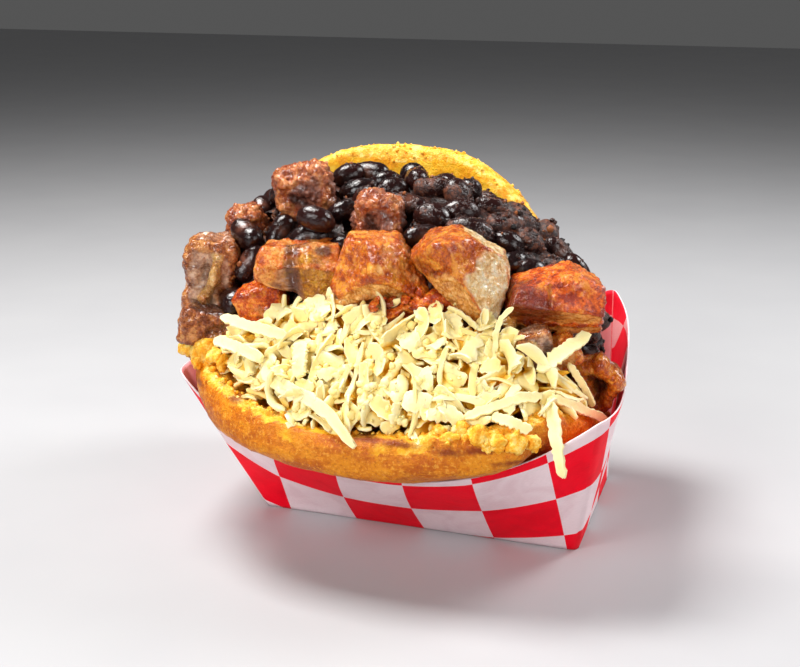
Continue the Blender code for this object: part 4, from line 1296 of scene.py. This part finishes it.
def beans(skin):
    rng = np.random.default_rng(17)
    shape, faces, eye = bean_shape()
    heap = surface_of("bean_heap")
    solids = tree_of(*surface_of("arepa", *MEAT))
    heap_tree = tree_of(*heap)
    places = []

    def room(centre, spacing):
        return all(np.linalg.norm(centre - other) > spacing for other, *_ in places)

    for spot, heading, length, width, coat, tone in PLACED_BEANS:
        way = np.array(heap_tree.find_nearest(Vector(spot))[1])
        angle = math.radians(heading)
        axis = RIGHTWARD * math.cos(angle) + UPWARD * math.sin(angle)
        axis = unit(axis - way * (axis @ way) * 0.8)
        places.append((np.array(spot) - way * width * 0.3, axis, way, length, width, coat, tone))
    for deep, spacing, tries in BEAN_LAYERS:
        spots, ways, _ = scatter(*heap, tries, rng)
        for spot, way in zip(spots, ways):
            centre = spot - way * (deep + rng.uniform(-0.9, 0.9))
            hit, solid_way, _, distance = solids.find_nearest(Vector(centre))
            outside = (Vector(centre) - hit).dot(solid_way) > 0
            if np.linalg.norm(centre - CLEAR_OF_BEANS) < CLEAR_REACH:
                continue
            if not outside or distance < 3.0 or not room(centre, spacing * rng.uniform(0.9, 1.1)):
                continue
            axis = unit(np.cross(way, rng.normal(size=3)) + 0.35 * way * rng.normal())
            scale = rng.uniform(0.88, 1.12)
            coat = float(np.clip(smooth(centre[0], -20, 30) * 0.45 + rng.uniform(0.0, 0.4), 0, 1))
            places.append((centre, axis, way, BEAN_LENGTH * scale, BEAN_WIDTH * scale, coat,
                rng.random() * 0.8))
    bodies = []
    for number, (centre, axis, way, length, width, coat, tone) in enumerate(places):
        roll = rng.uniform(-math.pi, math.pi)
        side = turn_to(axis, way)
        up = side[:, 2] * math.cos(roll) + side[:, 1] * math.sin(roll)
        axes = turn_to(axis, up)
        sizes = np.array((length, width, width * rng.uniform(0.84, 0.95))) / 2
        body = shape * sizes
        body = body + unit(shape) * (0.4 * lumps(body, 5.0, number) + 0.16 * lumps(body, 1.8, number + 3))[:,
            None]
        coated = np.clip(coat + 0.35 * lumps(shape, 0.9, number + 9), 0, 1)
        finish = np.stack((coated, np.full(len(shape), tone), eye * 0.7), 1)
        bodies.append((body @ axes.T + centre, faces, finish))
    points, faces, finish = joined(bodies)
    dress("beans", points, faces, skin, (), finish)
    return places


def mash(paste, places):
    """The dark paste between the beans, lumpy and lower than them, and bits of it that cling to the beans."""
    points, faces = surface_of("bean_heap")
    even, quads = remeshed(points, faces, 1.3)
    even = relaxed(even, quads, 6)
    way = normals(even, quads)
    even = even - way * (3.4 - 1.3 * grains(even, 6.5, 3) - 0.7 * lumps(even, 2.6, 4))[:, None]
    share = 0.45 + 0.5 * lumps(even, 8.0, 5)
    # the left shoulder and the right end are more mash than bean, with orange bits
    warm = 0.75 * np.exp(-(((even - (-54, -24, 84)) / (9, 14, 11)) ** 2).sum(axis=1))
    finish = np.stack((np.clip(share, 0, 1), warm, np.zeros(len(even))), 1)
    dress("bean_paste", even, quads, paste, ("bean_heap",), finish)
    rng = np.random.default_rng(29)
    lump, corners = pebble(1.0, 3, 1)
    bits = []
    for centre, axis, way, length, width, coat, _ in places:
        for _ in range(int(2 + 10 * coat)):
            out = unit(way + rng.normal(size=3) * 0.75)
            size = rng.uniform(0.35, 1.1) * (0.7 + 0.5 * coat)
            bits.append((centre + out * (width * 0.46) + axis * rng.uniform(-0.3, 0.3) * length, size))
    spots = np.array([spot for spot, _ in bits])
    moved = np.abs(inside_boat(spots, 2.5) - spots).max(axis=1)
    bodies = []
    for (spot, size), astray in zip(bits, moved):
        shape = lump * rng.uniform(0.6, 1.3, 3) * size
        warm = float(rng.random() < 0.2)
        if astray < 0.05:
            bodies.append((shape + spot, corners, np.tile((rng.random(), warm, 0.0), (len(lump), 1))))
    points, faces, finish = joined(bodies)
    dress("paste_bits", points, faces, paste, (), finish)


# ---------------------------------------------------------------- cheese

SLOPE = math.radians(50.0)  # the heap of cheese faces forwards and up at this lean
ACROSS = np.array((1.0, 0.0, 0.0))
UPHILL = np.array((0.0, math.cos(SLOPE), math.sin(SLOPE)))
OUT = np.array((0.0, -math.sin(SLOPE), math.cos(SLOPE)))
CELL = 0.7
CORE_DEPTH = 5.0
MOST_SHREDS = 990
MOST_PROUD = 1.9  # how far a shred may stand off the outline of the heap
# Shreds that stand out: their middle line, width and thickness
PLACED_SHREDS = (
    (((-31.4, -63.0, 57.5), (-29.8, -66.0, 54.5), (-24.0, -69.5, 52.6), (-16.6, -72.0, 51.6),
        (-8.4, -75.5, 49.0),
      (-3.5, -78.3, 45.4), (0.2, -79.4, 42.2)), (6.0, 4.6, 3.6, 3.7, 3.2, 2.6), 1.2),
    (((-34.5, -60.5, 58.0), (-30.0, -64.5, 55.6), (-25.0, -68.2, 54.0)), (3.0, 6.0, 4.2), 1.4),
    (((46.2, -56.5, 53.5), (48.4, -60.2, 50.0), (50.6, -64.8, 44.5), (52.4, -66.6, 38.6),
        (53.2, -66.6, 36.0)), (2.2, 3.6, 3.2, 2.6), 1.3),
    (((27.0, -69.6, 50.0), (34.0, -67.0, 53.0), (40.0, -62.5, 54.8), (44.5, -58.5, 54.6)), 2.7, 1.4),
    (((34.0, -68.0, 51.0), (39.5, -69.0, 50.2), (44.5, -68.0, 48.4)), 2.9, 1.3),
    (((46.5, -56.0, 54.0), (52.0, -53.0, 51.0), (58.5, -43.0, 45.0)), 2.6, 1.4),
    (((42.5, -54.5, 60.0), (47.5, -49.0, 64.0), (52.6, -40.5, 67.6)), (3.0, 4.4, 4.0, 3.0), 1.3),
    (((31.0, -55.0, 64.5), (30.6, -54.2, 69.0), (31.6, -53.0, 73.0), (34.4, -51.6, 76.0)), 1.5, 1.1),
    (((49.0, -47.0, 60.5), (52.5, -44.0, 54.0), (55.0, -42.0, 48.0)), 2.0, 1.2),
    (((-50.5, -53.5, 66.0), (-41.0, -57.5, 65.4), (-27.0, -61.5, 65.0)), 3.2, 1.4),
    (((-52.0, -55.5, 59.5), (-42.0, -60.5, 59.6), (-33.0, -64.5, 58.5)), 3.4, 1.3),
    (((-22.0, -62.5, 63.5), (-21.0, -65.5, 60.0), (-20.0, -68.0, 55.5)), 4.4, 1.5),
)


def flake(line, width, thick, roll, twist, cup, seed, stations=9, around=8):
    """A grated piece: a thin strip along a line, cupped across, with ragged sides and torn ends.

    Points, triangles, and how near each point is to an edge.
    """
    line = np.asarray(line, float)
    gone = np.concatenate(([0.0], np.cumsum(np.linalg.norm(np.diff(line, axis=0), axis=1))))
    want = np.linspace(0, gone[-1], stations)
    middle = np.stack([np.interp(want, gone, line[:, k]) for k in range(3)], 1)
    middle[1:-1] = (middle[:-2] + 2 * middle[1:-1] + middle[2:]) / 4
    along = unit(np.gradient(middle, axis=0))
    rolls = (roll + twist * np.linspace(-0.5, 0.5, stations))[:, None]
    flat = OUT * np.cos(rolls) + unit(np.cross(along, OUT)) * np.sin(rolls)
    side = unit(np.cross(flat, along))
    flat = np.cross(along, side)
    place = np.arange(stations)[:, None]
    angles = np.linspace(0, 2 * math.pi, around, endpoint=False) + math.pi / around
    c, s = np.cos(angles), np.sin(angles)
    square = (abs(c) ** 5 + abs(s) ** 5) ** -0.2
    c, s = c * square, s * square
    blunt = np.minimum(1.0, 0.5 + 2.4 * np.sin(np.linspace(0, 1, stations) * math.pi))
    widths = np.atleast_1d(width).astype(float)
    wide = np.interp(np.linspace(0, 1, stations), np.linspace(0, 1, len(widths)), widths)[:, None]
    ragged = np.array([
        [1 + 0.42 * noise.noise((i * 0.9, seed * 3.1, 9.0 * float(np.sign(x)))) for x in c]
        for i in range(stations)
    ])
    reach = c * ragged * blunt[:, None] * wide / 2
    rise = s * (0.75 + 0.25 * blunt)[:, None] * thick / 2 + cup * (reach / (wide / 2)) ** 2 * wide * 0.3
    rings = middle[:, None] + side[:, None] * reach[..., None] + flat[:, None] * rise[..., None]
    tear = 0.14 * wide[0] * np.array([noise.noise((x * 1.7, seed * 1.7, 3.0)) for x in c * wide[0]])
    rings[0] += along[0] * tear[:, None] * 2
    rings[-1] += along[-1] * tear[::-1, None] * 2
    points, faces = loft(rings, (middle[0] - along[0] * 0.1, middle[-1] + along[-1] * 0.1))
    rough = np.stack([lumps(points, 1.5, seed + k) for k in (5, 6, 7)], 1)
    # the side edges of the strip, on which a paler colour is painted for light through the thin cheese
    thin_edge_glow = np.concatenate(((np.abs(c) > 0.8)[None, :].repeat(stations, axis=0).ravel() * 0.8, (1.0, 1.0)))
    return points + 0.2 * rough, triangles(faces), thin_edge_glow


def above(line):
    """The upper hull of heights along a shred: how a taut strip lies over what is under it."""
    n = len(line)
    hull = []
    for i in range(n):
        while len(hull) > 1:
            a, b = hull[-2], hull[-1]
            if (line[b] - line[a]) * (i - a) <= (line[i] - line[a]) * (b - a):
                hull.pop()
            else:
                break
        hull.append(i)
    return np.interp(np.arange(n), hull, line[hull])


class Pile:
    """Heights over the sloping face of the cheese, so that each shred can come to rest on those before it."""

    def __init__(self):
        cheese = tree_of(*surface_of("cheese_heap"))
        others = tree_of(*surface_of("arepa", "bean_heap", "paper_tray", *MEAT))
        self.left, self.low = -66.0, -12.0
        self.columns, self.rows = int(136 / CELL), int(76 / CELL)
        self.middle = np.array((0.0, -66.0, 50.0))
        self.ground = np.full((self.columns, self.rows), -30.0)
        self.target = np.full((self.columns, self.rows), -np.inf)
        for i in range(self.columns):
            for j in range(self.rows):
                start = Vector(self.place(i, j, 60.0))
                hit = cheese.ray_cast(start, Vector(-OUT), 100.0)
                other = others.ray_cast(start, Vector(-OUT), 100.0)
                cheese_height = 60.0 - hit[3] if hit[0] else -np.inf
                other_height = 60.0 - other[3] if other[0] else -np.inf
                if cheese_height > other_height - 0.8:
                    self.target[i, j] = cheese_height + 0.6
                    self.ground[i, j] = max(cheese_height - CORE_DEPTH, min(other_height, cheese_height))
                elif other[0]:
                    self.ground[i, j] = other_height
        self.spread(5)

    def spread(self, rings):
        """The heap runs a little way out over what is next to it, thinner and thinner."""
        for ring in range(rings):
            around = np.full(self.target.shape, -np.inf)
            for step in ((1, 0), (-1, 0), (0, 1), (0, -1)):
                around = np.maximum(around, np.roll(self.target, step, (0, 1)))
            edge = ~np.isfinite(self.target) & np.isfinite(around)
            near = edge & (np.abs(self.ground - around) < 4.0)
            self.target[near] = np.minimum(around, self.ground + 2.2 - 0.3 * ring)[near]

    def place(self, i, j, height):
        u, v = self.left + i * CELL, self.low + j * CELL
        return self.middle + ACROSS * u + UPHILL * v + OUT * height

    def cells(self, points):
        off = np.asarray(points) - self.middle
        i = np.clip(((off @ ACROSS - self.left) / CELL).round().astype(int), 0, self.columns - 1)
        j = np.clip(((off @ UPHILL - self.low) / CELL).round().astype(int), 0, self.rows - 1)
        return i, j

    def lay(self, centre, angle, length, width, thick, curve, stiff, proud):
        """The middle line of a shred pressed down onto what lies on the slope.

        None if it stands too proud of the heap's outline or reaches past its edge.
        """
        t = np.linspace(-1, 1, 9)
        way = ACROSS * math.cos(angle) + UPHILL * math.sin(angle)
        side = -ACROSS * math.sin(angle) + UPHILL * math.cos(angle)
        flat = centre + way * (t * length / 2)[:, None] + side * (curve * (t * t - 0.33))[:, None]
        under = np.full(len(t), -np.inf)
        for shift in (-0.4, 0.0, 0.4):
            i, j = self.cells(flat + side * width * shift)
            under = np.maximum(under, self.ground[i, j])
        i, j = self.cells(flat)
        outline = self.target[i, j]
        rest = above(under)
        rest = rest * stiff + under * (1 - stiff)
        rest = np.convolve(np.pad(rest, 1, mode="edge"), (0.25, 0.5, 0.25), mode="valid")
        height = rest + thick * 0.45
        if not np.isfinite(outline[1:-1]).all() or (height - np.where(np.isfinite(outline), outline,
            99)).max() > proud:
            return None
        base = flat - OUT * ((flat - self.middle) @ OUT)[:, None]
        line = base + OUT * height[:, None]
        for shift in (-0.45, -0.15, 0.15, 0.45):
            for between in (0.0, 0.5):
                spots = flat * (1 - between) + np.roll(flat, -1, axis=0) * between
                tops = height * (1 - between) + np.roll(height, -1) * between + thick * 0.35
                i, j = self.cells((spots + side * width * shift)[: len(t) - (between > 0)])
                np.maximum.at(self.ground, (i, j), tops[: len(i)])
        return line

    def want(self, rng, spill):
        """A place where the heap is furthest below its outline."""
        short = np.where(np.isfinite(self.target), self.target - self.ground, -np.inf)
        open_cells = np.argwhere(short > spill)
        if not len(open_cells):
            return None
        picks = open_cells[rng.integers(len(open_cells), size=6)]
        best = picks[np.argmax(short[picks[:, 0], picks[:, 1]])]
        return self.place(best[0], best[1], 0.0)

    def depth(self, points):
        """How far down among its neighbours each point lies, 0 to 1, which is painted on the cheese as shade.
        """
        level = self.ground
        for _ in range(4):
            around = [np.roll(level, step, (0, 1)) for step in ((1, 0), (-1, 0), (0, 1), (0, -1))]
            level = (level * 2 + sum(around)) / 6
        i, j = self.cells(points)
        below = level[i, j] - (points - self.middle) @ OUT
        return np.clip((below + 0.3) / 2.8, 0, 1)


def cheese(curd):
    rng = np.random.default_rng(41)
    pile = Pile()
    laid = []
    for number in range(5000):
        centre = pile.want(rng, 0.15)
        if centre is None or len(laid) > MOST_SHREDS:
            break
        kind = rng.random()
        if kind < 0.46:
            length, width, thick = rng.uniform(4.5, 9), rng.uniform(3.6, 6.6), rng.uniform(0.8, 1.2)
        elif kind < 0.8:
            length, width, thick = rng.uniform(6, 13), rng.uniform(2.6, 4.2), rng.uniform(0.8, 1.2)
        else:
            length, width, thick = rng.uniform(8, 17), rng.uniform(1.3, 2.4), rng.uniform(0.8, 1.2)
        angle = rng.uniform(0, math.pi)
        stiff = rng.uniform(0.3, 0.95)
        line = pile.lay(centre, angle, length, width, thick, rng.normal() * length * 0.1, stiff, MOST_PROUD)
        if line is None:
            continue
        tip = np.linspace(-1, 1, len(line)) * rng.choice((-1.0, 1.0))
        line = line + OUT * (np.maximum(tip, 0) ** 2 * rng.uniform(0, 0.32) * min(length, 10))[:, None]
        roll = rng.normal() * 0.4 if rng.random() < 0.72 else rng.uniform(0.6, 2.4)
        laid.append((line, width, thick, roll, rng.normal() * 0.8, rng.normal() * 0.7, number))
    placed = [(line, width, thick, 0.2, 0.5, 0.3, 900 + k) for k,
        (line, width, thick) in enumerate(PLACED_SHREDS)]
    bodies = []
    # each shred is painted with shade by how deep its points lie in the pile
    for shape in laid:
        points, faces, thin_edge_glow = flake(*shape, 9, 10)
        bodies.append((points, faces, np.stack((pile.depth(points), thin_edge_glow, np.full(len(thin_edge_glow), rng.random())),
            1)))
    for shape in placed:
        points, faces, thin_edge_glow = flake(*shape, 26, 12)
        bodies.append((points, faces, np.stack((np.zeros(len(thin_edge_glow)), thin_edge_glow * 0.5, np.full(len(thin_edge_glow), 0.8)),
            1)))
    points, faces, finish = joined(bodies)
    shreds = dress("cheese_shreds", points, faces, curd, (), finish)
    shreds.data.set_sharp_from_angle(angle=math.radians(48))

    # the core, with curds in relief
    points, faces = surface_of("cheese_heap")
    even, quads = remeshed(points, faces, 1.1)
    even = relaxed(even, quads, 5)
    way = normals(even, quads)
    even = even - way * (CORE_DEPTH - 1.2 - 1.6 * grains(even, 4.2, 11))[:, None]
    # the core lies under the shreds and is painted almost wholly with the deep yellow shade
    finish = np.stack((np.full(len(even), 0.95), np.zeros(len(even)), np.full(len(even), 0.3)), 1)
    dress("cheese_core", even, quads, curd, ("cheese_heap",), finish)

    curds = []
    for number in range(800):
        u, v = rng.random(), rng.random()
        # most lie low down in the middle, where the heap has crumbled
        low = math.exp(-(((u - 0.5) / 0.2) ** 2) - ((v - 0.22) / 0.22) ** 2)
        if rng.random() > 0.06 + 0.8 * low:
            continue
        for part in range(rng.integers(2, 6)):
            i = int(np.clip(u * (pile.columns - 1) + rng.normal() * 1.9, 0, pile.columns - 1))
            j = int(np.clip(v * (pile.rows - 1) + rng.normal() * 1.9, 0, pile.rows - 1))
            if not np.isfinite(pile.target[i, j]):
                continue
            radius = 0.4 + 1.0 * rng.random() ** 2
            lump, corners = pebble(1.0, number * 7 + part, 2, 0.6)
            height = min(pile.ground[i, j], pile.target[i, j] + 1.2)
            shape = lump * rng.uniform(0.7, 1.4, 3) * radius + pile.place(i, j, height + radius * 0.25)
            # curds are painted with shade by their depth, at most part way
            deep = np.minimum(pile.depth(shape), 0.6)
            curds.append((shape, corners, np.stack((deep, np.zeros(len(deep)),
                np.full(len(deep), rng.random())), 1)))
    points, faces, finish = joined(curds)
    dress("cheese_curds", points, faces, curd, (), finish)


# ---------------------------------------------------------------- studio


def studio():
    scene = bpy.context.scene
    scene.view_settings.view_transform = "Standard"
    lens = bpy.data.cameras.new("camera")
    lens.sensor_width, lens.lens = 36.0, 63.28
    eye = link("camera", lens)
    eye.location = (0.1306, -0.3993, 0.1695)
    eye.rotation_euler = (math.radians(90 - 15.64), 0.0, math.radians(20.2))
    scene.camera = eye

    bpy.ops.mesh.primitive_plane_add(size=4.0, location=(0, 0, -0.0002))
    floor = bpy.context.object
    floor.name = "floor"
    made, tree, shader = new_material("pale floor")
    tone = use(tree, "grain", {"Size": 60.0, "Detail": 2.0})["Height"]
    colour = mix(tree, tone, srgb(178, 178, 181), srgb(186, 186, 188))
    set_shader(tree, shader, Base_Color=colour, Roughness=0.55)
    floor.data.materials.append(made)

    def softbox(name, place, aim, size, power, colour=(1.0, 1.0, 1.0)):
        data = bpy.data.lights.new(name, "AREA")
        data.shape, data.size, data.energy, data.color = "SQUARE", size, power, colour
        lamp = link(name, data)
        lamp.location = place
        lamp.rotation_euler = (Vector(aim) - Vector(place)).to_track_quat("-Z", "Y").to_euler()

    middle = (0.0, -0.02, 0.05)
    softbox("key", (-0.26, 0.02, 0.60), middle, 0.26, 5.8, (1.0, 0.985, 0.96))
    softbox("back", (0.38, 0.30, 0.42), middle, 0.24, 2.6)
    softbox("front", (-0.24, -0.72, 0.42), middle, 0.32, 4.2)
    softbox("side", (0.62, -0.42, 0.25), middle, 0.34, 1.6)
    world = bpy.data.worlds.new("studio")
    world.use_nodes = True
    world.node_tree.nodes["Background"].inputs[0].default_value = (1.0, 1.0, 1.0, 1.0)
    world.node_tree.nodes["Background"].inputs[1].default_value = 0.09
    scene.world = world


def main():
    grain_group()
    mottle_group()
    specks_group()
    folds_group()
    edge_of_mask_group()
    checks_group()
    studio()
    paper_boat()
    dough = corn_dough()
    cake = corn_cake(dough)
    dough_crumbs(dough, *cake)
    kinds = {"golden": golden_pork(), "crisp": crisp_pork(), "grey": grey_pork(), "beef": stewed_beef()}
    kinds["browned"] = browned_pork()
    for name in MEAT:
        kind = KINDS.get(name, "beef" if name.startswith("beef") else "browned")
        chunk(name, kinds[kind])
    crackling_bits(kinds["crisp"])
    placed = beans(bean_skin())
    mash(bean_mash(), placed)
    cheese(white_cheese())


main()
